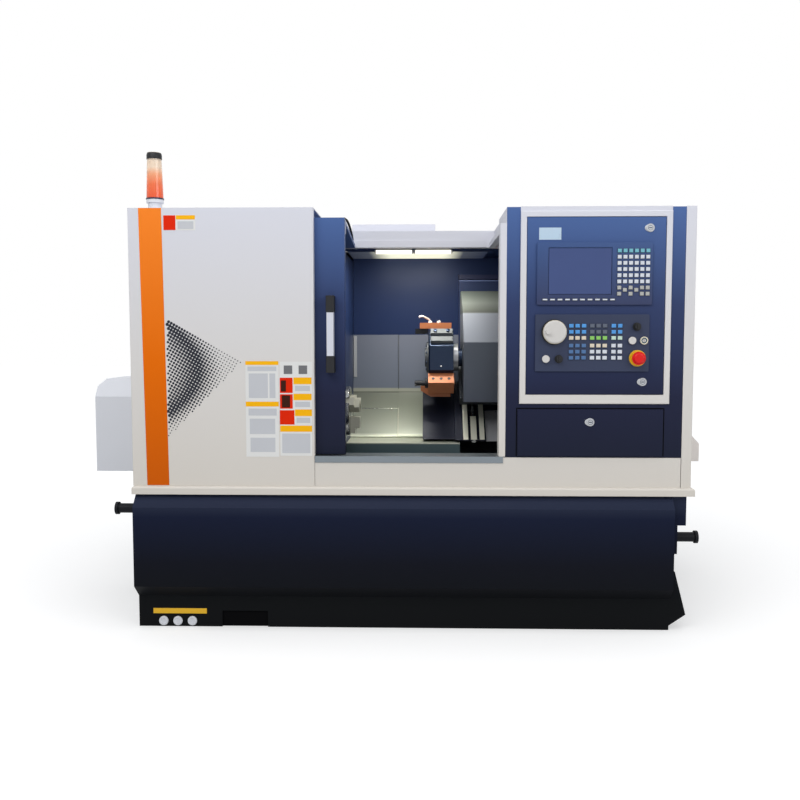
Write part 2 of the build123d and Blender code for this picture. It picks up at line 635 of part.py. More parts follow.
HANDLE_X = -297
HANDLE_Z = (979, 1266)
HANDLE_REACH = 44
HANDLE_WIDTH = 32
HANDLE_FOOT = 30
HANDLE_ROUND = 5
GRIP_INSET = 3
GRIP_THICK = 17
GRIP_LAP = 20
with BuildPart() as door_handle:
    for end in (HANDLE_Z[0] + HANDLE_FOOT, HANDLE_Z[1] - HANDLE_FOOT):
        slab(
            (HANDLE_X - HANDLE_WIDTH / 2, HANDLE_X + HANDLE_WIDTH / 2),
            deep(DOOR_DEPTH - HANDLE_REACH, DOOR_DEPTH),
            (end - HANDLE_FOOT, end + HANDLE_FOOT),
        )
    fillet(door_handle.edges().filter_by(Axis.Z).group_by(Axis.Y)[0], HANDLE_ROUND)
    grip_front = DOOR_DEPTH - HANDLE_REACH + GRIP_INSET
    slab(
        (HANDLE_X - HANDLE_WIDTH / 2 + GRIP_INSET, HANDLE_X + HANDLE_WIDTH / 2 - GRIP_INSET),
        deep(grip_front, grip_front + GRIP_THICK),
        (HANDLE_Z[0] + GRIP_LAP, HANDLE_Z[1] - GRIP_LAP),
    )
save(door_handle, "door_handle")

# Spindle: nose flange, main journal, belt pulley and the clamping cylinder at the rear
SPINDLE_REAR = -1020
NOSE_FACE = CHUCK_FACE - CHUCK_LENGTH
DRAW_BORE = 28
CYLINDER_SIZE = (80, 140)
SPINDLE_NECK = 45
NOSE_SIZE = (85, 16)
spindle_steps = [
    (SPINDLE_REAR, CYLINDER_SIZE[0]),
    (SPINDLE_REAR + CYLINDER_SIZE[1], SPINDLE_NECK),
    (PULLEY_X, SPINDLE_PULLEY),
    (PULLEY_X + PULLEY_WIDTH, JOURNAL_RADIUS),
    (NOSE_FACE - NOSE_SIZE[1], NOSE_SIZE[0]),
]
with BuildPart() as spindle:
    for (start, radius), end in zip(spindle_steps, [step[0] for step in spindle_steps[1:]] + [NOSE_FACE]):
        with BuildSketch(Plane.YZ.offset(start)):
            with Locations((SPINDLE_Y, SPINDLE_Z)):
                Circle(radius)
                Circle(DRAW_BORE, mode=Mode.SUBTRACT)
        extrude(amount=end - start)
save(spindle, "spindle")

# Chuck: drum with a stepped rim and a radial slot for each jaw
SLOT_WIDTH = 26
SLOT_DEPTH = 14
SLOT_INNER = 34
CHUCK_BEVEL = 4
CHUCK_PLANE = Plane((CHUCK_FACE, SPINDLE_Y, SPINDLE_Z), x_dir=(0, 0, 1), z_dir=(1, 0, 0))
with BuildPart() as chuck:
    with BuildSketch(CHUCK_PLANE):
        Circle(CHUCK_RADIUS)
        Circle(CHUCK_BORE, mode=Mode.SUBTRACT)
    extrude(amount=-CHUCK_LENGTH)
    rim = chuck.edges().filter_by(GeomType.CIRCLE).sort_by(SortBy.RADIUS)[-2:]
    chamfer(rim, CHUCK_BEVEL)
    with BuildSketch(CHUCK_PLANE):
        with PolarLocations(0, JAW_COUNT, start_angle=180):
            with Locations((CHUCK_RADIUS, 0)):
                Rectangle(2 * (CHUCK_RADIUS - SLOT_INNER), SLOT_WIDTH)
    extrude(amount=-SLOT_DEPTH, mode=Mode.SUBTRACT)
save(chuck, "chuck")

# Jaws: keyed master with a stepped top jaw, cut to the grip radius
JAW_GAP = 0.4
JAW_WIDTH = 38
JAW_OUTER = 96
JAW_INNER = 24
KEY_INNER = 40
STEP_OUTER = 74
STEP_LEVELS = (20, 40)
for number in range(JAW_COUNT):
    turn = math.pi + 2 * math.pi * number / JAW_COUNT
    jaw_plane = Plane(
        (CHUCK_FACE, SPINDLE_Y, SPINDLE_Z),
        x_dir=(0, math.sin(turn), math.cos(turn)),
        z_dir=(1, 0, 0),
    )
    with BuildPart(jaw_plane) as jaw:
        half_key = SLOT_WIDTH / 2 - JAW_GAP
        jaw_y = (-JAW_WIDTH / 2, JAW_WIDTH / 2)
        slab((KEY_INNER, JAW_OUTER), (-half_key, half_key), (JAW_GAP - SLOT_DEPTH, JAW_GAP))
        slab((JAW_INNER, JAW_OUTER), jaw_y, (JAW_GAP, STEP_LEVELS[0]))
        slab((JAW_INNER, STEP_OUTER), jaw_y, STEP_LEVELS)
        with BuildSketch(jaw_plane.offset(JAW_GAP)):
            Circle(JAW_GRIP_RADIUS)
        extrude(amount=STEP_LEVELS[1], mode=Mode.SUBTRACT)
    save(jaw, f"jaw_{number + 1}")

# Saddle: stepped slide on the bed ways with the cross ways, screw bearings and motor tower
X_SCREW_LEVEL = -158
X_SCREW_RADIUS = 10
SADDLE_UNDER = -312
CROSS_LEVEL = -175
SADDLE_REACH = (-30, 330)
SADDLE_STEP_X = 195
NECK_REACH = (120, 358)
NUT_BLOCK = ((260, 340), (-402, -312))
CROSS_WAY_FOOT = -44
X_BEARINGS = ((-44, -20), (320, 345))
X_BEARING_HALF = 16
TOWER_SPAN = (222, 430)
TOWER_DEPTHS = (925, 989)
TOWER_HEIGHTS = (849, 1385)
TOWER_FOOT_FRONT = 891
TOWER_FOOT_TOP = 879
SHELF_CUT = ((429, 829), (355, 655))
X_SCREW_START = -60
X_SCREW_RUN = 420
with BuildPart(SLIDE_PLANE) as saddle:
    slab((SADDLE_SPAN[0], SADDLE_STEP_X), (0, SADDLE_REACH[1]), (SADDLE_UNDER, SADDLE_TOP))
    slab((SADDLE_STEP_X, SADDLE_SPAN[1]), SADDLE_REACH, (SADDLE_UNDER, CROSS_LEVEL))
    slab(SADDLE_NECK, NECK_REACH, (BED_LEVEL + WAY_HEIGHT + 2 * SEAM, SADDLE_UNDER))
    nut_y = (Z_SCREW[0] - BEARING_SIZE[1] / 2, Z_SCREW[0] + BEARING_SIZE[1] / 2)
    slab(NUT_BLOCK[0], nut_y, NUT_BLOCK[1])
    for way in X_WAY_PLACES:
        way_x = (way - X_WAY_WIDTH / 2, way + X_WAY_WIDTH / 2)
        slab(way_x, (CROSS_WAY_FOOT, SADDLE_REACH[1]), (CROSS_LEVEL, WAYS_TOP))
    for end in X_BEARINGS:
        slab((X_SCREW_X - X_BEARING_HALF, X_SCREW_X + X_BEARING_HALF), end, (CROSS_LEVEL, WAYS_TOP - SEAM))
    with BuildSketch(Plane.YZ.offset(TOWER_SPAN[0])):
        flat(deep(*TOWER_DEPTHS), TOWER_HEIGHTS)
        flat(deep(TOWER_FOOT_FRONT, TOWER_DEPTHS[1]), (TOWER_HEIGHTS[0], TOWER_FOOT_TOP))
    extrude(amount=TOWER_SPAN[1] - TOWER_SPAN[0])
    with BuildSketch(Plane.YZ.offset(SADDLE_SPAN[0])):
        flat(deep(*SHELF_CUT[0]), SHELF_CUT[1])
    extrude(amount=SADDLE_SPAN[1] - SADDLE_SPAN[0], mode=Mode.SUBTRACT)
    with BuildSketch(Plane.YZ.offset(SADDLE_SPAN[0])):
        with Locations(tuple(SLIDE_PLANE.from_local_coords((0, *Z_SCREW)))[1:]):
            Circle(Z_SCREW_RADIUS + RUNNING)
    extrude(amount=SADDLE_SPAN[1], mode=Mode.SUBTRACT)
    screw_bore = Plane(SLIDE_PLANE.from_local_coords((X_SCREW_X, X_SCREW_START, X_SCREW_LEVEL)),
                       x_dir=(1, 0, 0), z_dir=SLIDE_PLANE.y_dir)
    with BuildSketch(screw_bore):
        Circle(X_SCREW_RADIUS + RUNNING)
    extrude(amount=X_SCREW_RUN, mode=Mode.SUBTRACT)
save(saddle, "saddle")

# Ball screws of the long and the cross slide
SCREW_END = 18
X_SCREW_LENGTH = 385
with BuildPart() as z_screw:
    with BuildSketch(Plane.YZ.offset(SCREW_BEARINGS[0] - SCREW_END)):
        with Locations(tuple(SLIDE_PLANE.from_local_coords((0, *Z_SCREW)))[1:]):
            Circle(Z_SCREW_RADIUS)
    extrude(amount=SCREW_BEARINGS[1] - SCREW_BEARINGS[0] + 2 * SCREW_END)
save(z_screw, "z_screw")

with BuildPart() as x_screw:
    with BuildSketch(screw_bore.offset(SCREW_END)):
        Circle(X_SCREW_RADIUS)
    extrude(amount=X_SCREW_LENGTH)
save(x_screw, "x_screw")

# Way guard that travels with the saddle, open where the saddle reaches its ways
SLIDING_SPAN = (-70, 735)
NECK_SLOT = (239, 244)
NECK_SIDE = 2
SLOT_REACH = 20
with BuildPart() as sliding_guard:
    with BuildSketch(Plane.YZ.offset(SLIDING_SPAN[0])):
        with BuildLine():
            Polyline(*guard_profile(GUARD_LEVEL))
            offset(amount=GUARD_SHEET, side=Side.RIGHT)
        make_face()
    extrude(amount=SLIDING_SPAN[1] - SLIDING_SPAN[0])
    with BuildSketch(SLIDE_PLANE.offset(GUARD_LEVEL - SLOT_REACH)):
        with Locations((sum(SADDLE_NECK) / 2, NECK_SLOT[0])):
            Rectangle(SADDLE_NECK[1] - SADDLE_NECK[0] + 2 * NECK_SIDE, NECK_SLOT[1])
    extrude(amount=2 * SLOT_REACH, mode=Mode.SUBTRACT)
save(sliding_guard, "sliding_guard")

# Cross slide with the turret housing bored for the turret shaft, and its screw nut
TURRET_SHAFT = 40
CROSS_SPAN = (216, 430)
CROSS_REACH = (160, 420)
CROSS_TOP = -100
SLIDE_GAP = 0.4
X_NUT_HALF = 14
X_NUT_REACH = (250, 290)
HOUSING_SPAN = (229, 420)
HOUSING_REACH = (225, 415)
HOUSING_TOP = 95
HOUSING_BORE = 90
with BuildPart(SLIDE_PLANE) as cross_slide:
    slab(CROSS_SPAN, CROSS_REACH, (WAYS_TOP + SLIDE_GAP, CROSS_TOP))
    slab((X_SCREW_X - X_NUT_HALF, X_SCREW_X + X_NUT_HALF), X_NUT_REACH, (X_SCREW_LEVEL - X_NUT_HALF, CROSS_TOP))
    slab(HOUSING_SPAN, HOUSING_REACH, (CROSS_TOP, HOUSING_TOP))
    with BuildSketch(Plane.YZ.offset(HOUSING_SPAN[0])):
        with Locations(tuple(SLIDE_PLANE.from_local_coords((0, TURRET_REACH, 0)))[1:]):
            Circle(TURRET_SHAFT + RUNNING)
    extrude(amount=HOUSING_BORE, mode=Mode.SUBTRACT)
    with BuildSketch(screw_bore):
        Circle(X_SCREW_RADIUS + RUNNING)
    extrude(amount=X_SCREW_RUN, mode=Mode.SUBTRACT)
save(cross_slide, "cross_slide")

# Turret cover: folded stainless hood with its left end plate
turret_y, turret_z = tuple(SLIDE_PLANE.from_local_coords((0, TURRET_REACH, 0)))[1:]
COVER_SPAN = (226, 560)
COVER_SHEET = 3
SHAFT_CLEARANCE = 8
COVER_BENDS = [(520, 832), (520, 1090), (600, 1220), (800, 1325), (900, 1325), (900, 1080)]
COVER_FOOT = [(690, 870), (640, 832)]
with BuildPart() as turret_cover:
    with BuildSketch(Plane.YZ.offset(COVER_SPAN[0])):
        with BuildLine():
            Polyline(*((FRONT_Y + depth, height) for depth, height in COVER_BENDS))
            offset(amount=COVER_SHEET, side=Side.RIGHT)
        make_face()
    extrude(amount=COVER_SPAN[1] - COVER_SPAN[0])
    with BuildSketch(Plane.YZ.offset(COVER_SPAN[0])):
        with BuildLine():
            Polyline(*((FRONT_Y + depth, height) for depth, height in COVER_BENDS + COVER_FOOT), close=True)
        make_face()
        with Locations((turret_y, turret_z)):
            Circle(TURRET_SHAFT + SHAFT_CLEARANCE, mode=Mode.SUBTRACT)
    extrude(amount=COVER_SHEET)
save(turret_cover, "turret_cover")

# Turret: eight-sided disc with its shaft
TURRET_PLANE = Plane((TURRET_LEFT, turret_y, turret_z), x_dir=(0, 0, 1), z_dir=(1, 0, 0))
TURRET_BEVEL = 6
TURRET_FLANGE = (62, 24)
SHAFT_LENGTH = 130
with BuildPart() as turret_disc:
    with BuildSketch(TURRET_PLANE):
        RegularPolygon(TURRET_FLATS / 2, STATIONS, major_radius=False, rotation=180 / STATIONS)
    extrude(amount=TURRET_RIGHT - TURRET_LEFT)
    chamfer(turret_disc.edges().group_by(Axis.X)[0], TURRET_BEVEL)
    with BuildSketch(TURRET_PLANE.offset(TURRET_RIGHT - TURRET_LEFT)):
        Circle(TURRET_FLANGE[0])
    extrude(amount=TURRET_FLANGE[1])
    with BuildSketch(TURRET_PLANE.offset(TURRET_RIGHT - TURRET_LEFT)):
        Circle(TURRET_SHAFT)
    extrude(amount=SHAFT_LENGTH)
save(turret_disc, "turret_disc")


def station(angle):
    """Plane on one turret flat: local x points outward, local z along the spindle direction."""
    turn = math.radians(angle)
    return Plane(
        (TURRET_LEFT, turret_y, turret_z),
        x_dir=(0, -math.sin(turn), math.cos(turn)),
        z_dir=(1, 0, 0),
    )


# Tool blocks on four turret flats: two turning holders and two boring holders
FLAT = TURRET_FLATS / 2
TOP_STATION, FRONT_STATION, LOW_STATION, REAR_STATION = 0, 135, 180, 270
BLOCK_HALF = 35
BAR_PLACE = 160
TOOL_RADIUS = 10
POCKET_RADIUS = 16
BORING_LENGTH = (-2, 112)
BORING_HEIGHT = 58
TOP_BLOCK = (26, 84)
TOP_LENGTH = (-39, 103)
LOW_BLOCK = [(0, -35), (20, -35), (48, 12), (48, 100), (0, 100)]
with BuildPart() as tool_holders:
    with BuildSketch(station(TOP_STATION).offset(TOP_LENGTH[0])):
        with Locations((FLAT + TOP_BLOCK[0] / 2, 0)):
            Rectangle(*TOP_BLOCK)
    extrude(amount=TOP_LENGTH[1] - TOP_LENGTH[0])
    for angle, radius in ((FRONT_STATION, TOOL_RADIUS), (REAR_STATION, POCKET_RADIUS)):
        with BuildSketch(station(angle).offset(BORING_LENGTH[0])):
            with Locations((FLAT + BORING_HEIGHT / 2, 0)):
                Rectangle(BORING_HEIGHT, 2 * BLOCK_HALF)
            with Locations((BAR_PLACE, 0)):
                Circle(radius, mode=Mode.SUBTRACT)
        extrude(amount=BORING_LENGTH[1] - BORING_LENGTH[0])
    low = station(LOW_STATION)
    low_side = Plane(low.from_local_coords((0, -BLOCK_HALF, 0)), x_dir=low.x_dir, z_dir=-low.y_dir)
    with BuildSketch(low_side):
        with BuildLine():
            Polyline(*((FLAT + height, along) for height, along in LOW_BLOCK), close=True)
        make_face()
    extrude(amount=-2 * BLOCK_HALF)
save(tool_holders, "tool_holders")

# Cutting tools: boring bar with its tip and two square-shank tools
SHANK = 24
SHANK_LENGTH = (-60, -2)
BAR_LENGTH = (-62, 38)
TIP_SIZE = (12, 7, 9)
TIP_PLACE = BAR_PLACE + 8
with BuildPart() as cutting_tools:
    with BuildSketch(station(FRONT_STATION).offset(BAR_LENGTH[0])):
        with Locations((BAR_PLACE, 0)):
            Circle(TOOL_RADIUS)
    extrude(amount=BAR_LENGTH[1] - BAR_LENGTH[0])
    with BuildSketch(station(FRONT_STATION).offset(BAR_LENGTH[0])):
        with Locations((TIP_PLACE, 0)):
            Rectangle(*TIP_SIZE[:2])
    extrude(amount=TIP_SIZE[2])
    for angle in (TOP_STATION, LOW_STATION):
        with BuildSketch(station(angle).offset(SHANK_LENGTH[0])):
            with Locations((FLAT - SHANK / 2, 0)):
                Rectangle(SHANK, SHANK)
        extrude(amount=SHANK_LENGTH[1] - SHANK_LENGTH[0])
save(cutting_tools, "cutting_tools")

# Control cabinet: open-fronted shell with a shelf, the post beside the door opening and the beam to the lintel
SHELL_RIGHT = 1008
POST_DEPTH = 60
POST_TOP = 1530
BEAM_LEFT = 336
BEAM_HEIGHT = 20
with BuildPart() as cabinet_shell:
    shell_x = (CABINET_LEFT, SHELL_RIGHT)
    shell_z = (SILL_TOP + FIELD_GAP, BODY_TOP - FIELD_GAP)
    slab(shell_x, deep(SHEET, CABINET_DEPTH), shell_z)
    bay_x = (CABINET_LEFT + SHEET, SHELL_RIGHT - SHEET)
    bay_y = deep(SHEET, CABINET_DEPTH - SHEET)
    slab(bay_x, bay_y, (CABINET_SHELF + SHEET / 2, shell_z[1] - SHEET), mode=Mode.SUBTRACT)
    slab(bay_x, bay_y, (shell_z[0] + SHEET, CABINET_SHELF - SHEET / 2), mode=Mode.SUBTRACT)
    slab((OPENING_RIGHT, CABINET_LEFT), deep(0, POST_DEPTH), (TRACK_TOP, POST_TOP))
    beam_z = (LINTEL_BOTTOM, LINTEL_BOTTOM + BEAM_HEIGHT)
    slab((BEAM_LEFT, CABINET_LEFT), deep(POST_DEPTH, LINTEL_DEPTH), beam_z)
    slab((SHELL_RIGHT, BODY_HALF - SHEET), deep(SHEET, CABINET_DEPTH), (shell_z[1] - SHEET, shell_z[1]))
save(cabinet_shell, "cabinet_shell")


# Navy front of the cabinet, and the pale trim round the control door
with BuildPart() as cabinet_fascia:
    slab((CABINET_LEFT, CABINET_RIGHT), deep(0, SHEET), (SILL_TOP + SEAM, BODY_TOP - FIELD_GAP))
    for field in (DOOR_FIELD, FLAP_FIELD):
        bay_x, bay_z = shrink(field, LIP_IN)
        slab(bay_x, deep(0, SHEET), bay_z, mode=Mode.SUBTRACT)
save(cabinet_fascia, "cabinet_fascia")

TRIM_PROUD = 8
with BuildPart() as panel_trim_frame:
    slab(TRIM[0], deep(-TRIM_PROUD, 0), TRIM[1])
    fillet(panel_trim_frame.edges().group_by(Axis.Y)[0], FOLD_RADIUS)
    slab(DOOR_FIELD[0], deep(-TRIM_PROUD, 0), DOOR_FIELD[1], mode=Mode.SUBTRACT)
save(panel_trim_frame, "panel_trim_frame")

# Control door and storage flap, with holes for the units and the locks
LEAF_FRONT = -6
UNIT_FIELD = ((467, 888), (1230, 1457))
PANEL_FIELD = ((463, 881), (985, 1195))
UNIT_SEAT = 10
LOCK_RADIUS = 11
UPPER_LOCK = (879, 1510)
LOWER_LOCK = (861, 946)
FLAP_LOCK = (671, 796)


def front_plane(depth):
    """Plane facing the operator at a depth behind the main front face."""
    return Plane.XZ.offset(-FRONT_Y - depth)


def round_bar(place, radius, depths, mode=Mode.ADD):
    """A round bar square to the front face, between two depths."""
    low, high = FRONT_Y + depths[0], FRONT_Y + depths[1]
    with Locations((place[0], (low + high) / 2, place[1])):
        Cylinder(radius, high - low, rotation=(90, 0, 0), mode=mode)


with BuildPart() as control_door:
    leaf_x, leaf_z = shrink(DOOR_FIELD, FIELD_GAP)
    slab(leaf_x, deep(LEAF_FRONT, LEAF_FRONT + PANEL_THICK), leaf_z)
    for field in (UNIT_FIELD, PANEL_FIELD):
        bay_x, bay_z = shrink(field, UNIT_SEAT)
        slab(bay_x, deep(LEAF_FRONT, LEAF_FRONT + PANEL_THICK), bay_z, mode=Mode.SUBTRACT)
    for place in (UPPER_LOCK, LOWER_LOCK):
        round_bar(place, LOCK_RADIUS + RUNNING, (LEAF_FRONT, LEAF_FRONT + PANEL_THICK), mode=Mode.SUBTRACT)
save(control_door, "control_door")

with BuildPart() as storage_flap:
    leaf_x, leaf_z = shrink(FLAP_FIELD, FIELD_GAP)
    slab(leaf_x, deep(LEAF_FRONT, LEAF_FRONT + PANEL_THICK), leaf_z)
    round_bar(FLAP_LOCK, LOCK_RADIUS + RUNNING, (LEAF_FRONT, LEAF_FRONT + PANEL_THICK), mode=Mode.SUBTRACT)
save(storage_flap, "storage_flap")

# Cam locks: barrel through the leaf and a cam behind it, pointing clear of the frame at rest
CAM_REACH = 44
CAM_DEPTHS = (5, 8)
CAM_HALF = 7
ROSE_RADIUS = 14
ROSE_DEPTHS = (-10, -6.3)
for name, place in (("upper_lock", UPPER_LOCK), ("lower_lock", LOWER_LOCK), ("flap_lock", FLAP_LOCK)):
    with BuildPart() as lock:
        round_bar(place, LOCK_RADIUS, (ROSE_DEPTHS[1], CAM_DEPTHS[1]))
        round_bar(place, ROSE_RADIUS, ROSE_DEPTHS)
        slab((place[0] - CAM_REACH, place[0]), deep(*CAM_DEPTHS), (place[1] - CAM_HALF, place[1] + CAM_HALF))
    save(lock, name)

# Numerical control unit: bezel with a sunk screen, body behind the door
BEZEL = 8
UNIT_REAR = 80
UNIT_ROUND = 6
SCREEN_SUNK = 4
SEAT_GAP = 0.5
UNIT_FRONT = LEAF_FRONT - BEZEL
SCREEN_FIELD = ((508, 741), (1267, 1439))
with BuildPart() as cnc_unit:
    slab(UNIT_FIELD[0], deep(UNIT_FRONT, LEAF_FRONT), UNIT_FIELD[1])
    fillet(cnc_unit.edges().filter_by(Axis.Y), UNIT_ROUND)
    slab(SCREEN_FIELD[0], deep(UNIT_FRONT, UNIT_FRONT + SCREEN_SUNK), SCREEN_FIELD[1], mode=Mode.SUBTRACT)
    body_x, body_z = shrink(UNIT_FIELD, UNIT_SEAT + SEAT_GAP)
    slab(body_x, deep(LEAF_FRONT, UNIT_REAR), body_z)
save(cnc_unit, "cnc_unit")

# Operator panel: plate with a shallow body, the stop-button collar and bores for the controls
PANEL_PROUD = 6
PANEL_FRONT = LEAF_FRONT - PANEL_PROUD
PANEL_REAR = 40
PANEL_ROUND = 5
HANDWHEEL = (532, 1130)
ESTOP = (838, 1034)
FEED_KNOB = (835, 1150)
MODE_KNOB = (550, 1031)
KEY_SWITCH = (861, 1099)
START_BUTTON = (818, 1099)
STOP_BUTTON = (502, 1031)
COLLAR_RADIUS = 29
COLLAR_PROUD = 6
COLLAR_FRONT = PANEL_FRONT - COLLAR_PROUD
SHAFT_RADIUS = 5
STEM_RADIUS = 9
SHAFT_END = 6
STEM_END = 16
STEM_GAP = 6
TURNED = (HANDWHEEL, FEED_KNOB, MODE_KNOB, KEY_SWITCH)
PUSHED = (ESTOP, START_BUTTON, STOP_BUTTON)
with BuildPart() as operator_panel:
    slab(PANEL_FIELD[0], deep(PANEL_FRONT, LEAF_FRONT), PANEL_FIELD[1])
    fillet(operator_panel.edges().filter_by(Axis.Y), PANEL_ROUND)
    body_x, body_z = shrink(PANEL_FIELD, UNIT_SEAT + SEAT_GAP)
    slab(body_x, deep(LEAF_FRONT, PANEL_REAR), body_z)
    round_bar(ESTOP, COLLAR_RADIUS, (COLLAR_FRONT, PANEL_FRONT))
    for place in TURNED:
        round_bar(place, SHAFT_RADIUS + RUNNING, (PANEL_FRONT, SHAFT_END), mode=Mode.SUBTRACT)
    for place in PUSHED:
        round_bar(place, STEM_RADIUS + RUNNING, (COLLAR_FRONT, STEM_END), mode=Mode.SUBTRACT)
save(operator_panel, "operator_panel")

# Keys: soft keys and keypad of the unit, and the three groups of the operator panel
KEY_PROUD = 3
SOFT_KEYS = 10
SOFT_KEY_MIDDLE = (620, 1249)
SOFT_KEY_PITCH = 27.4
SOFT_KEY_SIZE = (20, 8)
KEYPAD = (6, 8)
KEYPAD_CORNER = (767, 1427)
KEYPAD_PITCH = (20.7, 22.4)
KEYPAD_KEY = (16, 15)
FULL_ROWS = 6
SPLIT_COLUMNS = (1, 3)
SPLIT_DROP = 30.6
KEY_GROUPS = ((618, 3), (695, 3), (762, 2))
KEY_ROW_BANDS = (1131, 1058)
PANEL_KEY_PITCH = (23.2, 22.4)
PANEL_KEY = (18, 15)
keypad_places = [
    (KEYPAD_CORNER[0] + column * KEYPAD_PITCH[0], KEYPAD_CORNER[1] - row * KEYPAD_PITCH[1])
    for row in range(KEYPAD[1])
    for column in range(KEYPAD[0])
    if row < FULL_ROWS or column not in SPLIT_COLUMNS
]
split_height = KEYPAD_CORNER[1] - (FULL_ROWS - 1) * KEYPAD_PITCH[1] - SPLIT_DROP
keypad_places += [(KEYPAD_CORNER[0] + column * KEYPAD_PITCH[0], split_height) for column in SPLIT_COLUMNS]
with BuildPart() as key_pads:
    with BuildSketch(front_plane(UNIT_FRONT)):
        with Locations(SOFT_KEY_MIDDLE):
            with GridLocations(SOFT_KEY_PITCH, 1, SOFT_KEYS, 1):
                Rectangle(*SOFT_KEY_SIZE)
        with Locations(*keypad_places):
            Rectangle(*KEYPAD_KEY)
    extrude(amount=KEY_PROUD)
    with BuildSketch(front_plane(PANEL_FRONT)):
        for middle, columns in KEY_GROUPS:
            for band in KEY_ROW_BANDS:
                with Locations((middle, band)):
                    with GridLocations(*PANEL_KEY_PITCH, columns, 3):
                        Rectangle(*PANEL_KEY)
    extrude(amount=KEY_PROUD)
save(key_pads, "key_pads")

# Handwheel with its crank lug, knobs, key switch, emergency stop and push buttons
CLEAR = 0.4
WHEEL_RADIUS = 42
WHEEL_ROUND = 5
WHEEL_PROUD = (26, 8)
HUB_RADIUS = 26
LUG_RADIUS = 9
LUG_PROUD = 38
KNOB_SKIRT = (15, 6)
KNOB_GRIP = (11, 22)
KNOB_POINTER = (3, 10, 25)
SWITCH_SIZE = (14, 8)
SWITCH_SLOT = (1.5, 6, 4)
MUSHROOM_RADIUS = 20
MUSHROOM_ROUND = 6
MUSHROOM_PROUD = (36, 22)
BUTTON_RADIUS = 14
BUTTON_ROUND = 2
BUTTON_PROUD = (12, 5)
shaft_depths = (PANEL_FRONT - CLEAR, SHAFT_END - 1)
with BuildPart() as handwheel:
    round_bar(HANDWHEEL, WHEEL_RADIUS, (PANEL_FRONT - WHEEL_PROUD[0], PANEL_FRONT - WHEEL_PROUD[1]))
    fillet(handwheel.edges().filter_by(GeomType.CIRCLE).group_by(Axis.Y)[0], WHEEL_ROUND)
    round_bar(HANDWHEEL, HUB_RADIUS, (PANEL_FRONT - WHEEL_PROUD[1], PANEL_FRONT - CLEAR))
    round_bar(HANDWHEEL, SHAFT_RADIUS, shaft_depths)
    lug = (HANDWHEEL[0] - HUB_RADIUS, HANDWHEEL[1])
    round_bar(lug, LUG_RADIUS, (PANEL_FRONT - LUG_PROUD, PANEL_FRONT - WHEEL_PROUD[0]))
save(handwheel, "handwheel")

for name, place in (("feed_knob", FEED_KNOB), ("mode_knob", MODE_KNOB)):
    with BuildPart() as knob:
        round_bar(place, KNOB_SKIRT[0], (PANEL_FRONT - KNOB_SKIRT[1], PANEL_FRONT - CLEAR))
        round_bar(place, KNOB_GRIP[0], (PANEL_FRONT - KNOB_GRIP[1], PANEL_FRONT - KNOB_SKIRT[1]))
        round_bar(place, SHAFT_RADIUS, shaft_depths)
        pointer_x = (place[0] - KNOB_POINTER[0], place[0] + KNOB_POINTER[0])
        pointer_z = (place[1] - KNOB_POINTER[1], place[1] + KNOB_POINTER[1])
        slab(pointer_x, deep(PANEL_FRONT - KNOB_POINTER[2], PANEL_FRONT - KNOB_GRIP[1]), pointer_z)
    save(knob, name)

with BuildPart() as key_switch:
    switch_front = PANEL_FRONT - SWITCH_SIZE[1]
    round_bar(KEY_SWITCH, SWITCH_SIZE[0], (switch_front, PANEL_FRONT - CLEAR))
    round_bar(KEY_SWITCH, SHAFT_RADIUS, shaft_depths)
    slot_x = (KEY_SWITCH[0] - SWITCH_SLOT[0], KEY_SWITCH[0] + SWITCH_SLOT[0])
    slot_z = (KEY_SWITCH[1] - SWITCH_SLOT[1], KEY_SWITCH[1] + SWITCH_SLOT[1])
    slab(slot_x, deep(switch_front, switch_front + SWITCH_SLOT[2]), slot_z, mode=Mode.SUBTRACT)
save(key_switch, "key_switch")

stem_end = STEM_END - STEM_GAP
with BuildPart() as estop:
    round_bar(ESTOP, MUSHROOM_RADIUS, (PANEL_FRONT - MUSHROOM_PROUD[0], PANEL_FRONT - MUSHROOM_PROUD[1]))
    fillet(estop.edges().filter_by(GeomType.CIRCLE).group_by(Axis.Y)[0], MUSHROOM_ROUND)
    round_bar(ESTOP, STEM_RADIUS, (PANEL_FRONT - MUSHROOM_PROUD[1], stem_end))
save(estop, "estop")

for name, place in (("start_button", START_BUTTON), ("stop_button", STOP_BUTTON)):
    with BuildPart() as button:
        round_bar(place, BUTTON_RADIUS, (PANEL_FRONT - BUTTON_PROUD[0], PANEL_FRONT - BUTTON_PROUD[1]))
        fillet(button.edges().filter_by(GeomType.CIRCLE).group_by(Axis.Y)[0], BUTTON_ROUND)
        round_bar(place, STEM_RADIUS, (PANEL_FRONT - BUTTON_PROUD[1], stem_end))
    save(button, name)
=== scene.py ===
import math

import bpy
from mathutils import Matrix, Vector


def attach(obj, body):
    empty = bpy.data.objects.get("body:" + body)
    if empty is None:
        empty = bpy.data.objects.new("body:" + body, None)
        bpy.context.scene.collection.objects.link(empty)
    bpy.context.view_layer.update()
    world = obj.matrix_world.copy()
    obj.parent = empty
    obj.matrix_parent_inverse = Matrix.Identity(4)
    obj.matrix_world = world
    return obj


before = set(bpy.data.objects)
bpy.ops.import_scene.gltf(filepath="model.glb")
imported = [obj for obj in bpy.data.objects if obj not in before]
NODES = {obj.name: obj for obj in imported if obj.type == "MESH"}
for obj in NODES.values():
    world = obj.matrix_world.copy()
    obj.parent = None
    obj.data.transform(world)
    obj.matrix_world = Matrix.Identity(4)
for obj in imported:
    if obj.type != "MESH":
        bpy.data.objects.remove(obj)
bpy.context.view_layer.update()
FRONT = -0.720


# Colours and materials
CLOUD_SCALE = 4.0
CLOUD_RANGE = (0.3, 0.7)
SMOOTHEST = 0.02
RELIEF_DEPTH = 0.0004
COAT_ROUGHNESS = 0.15


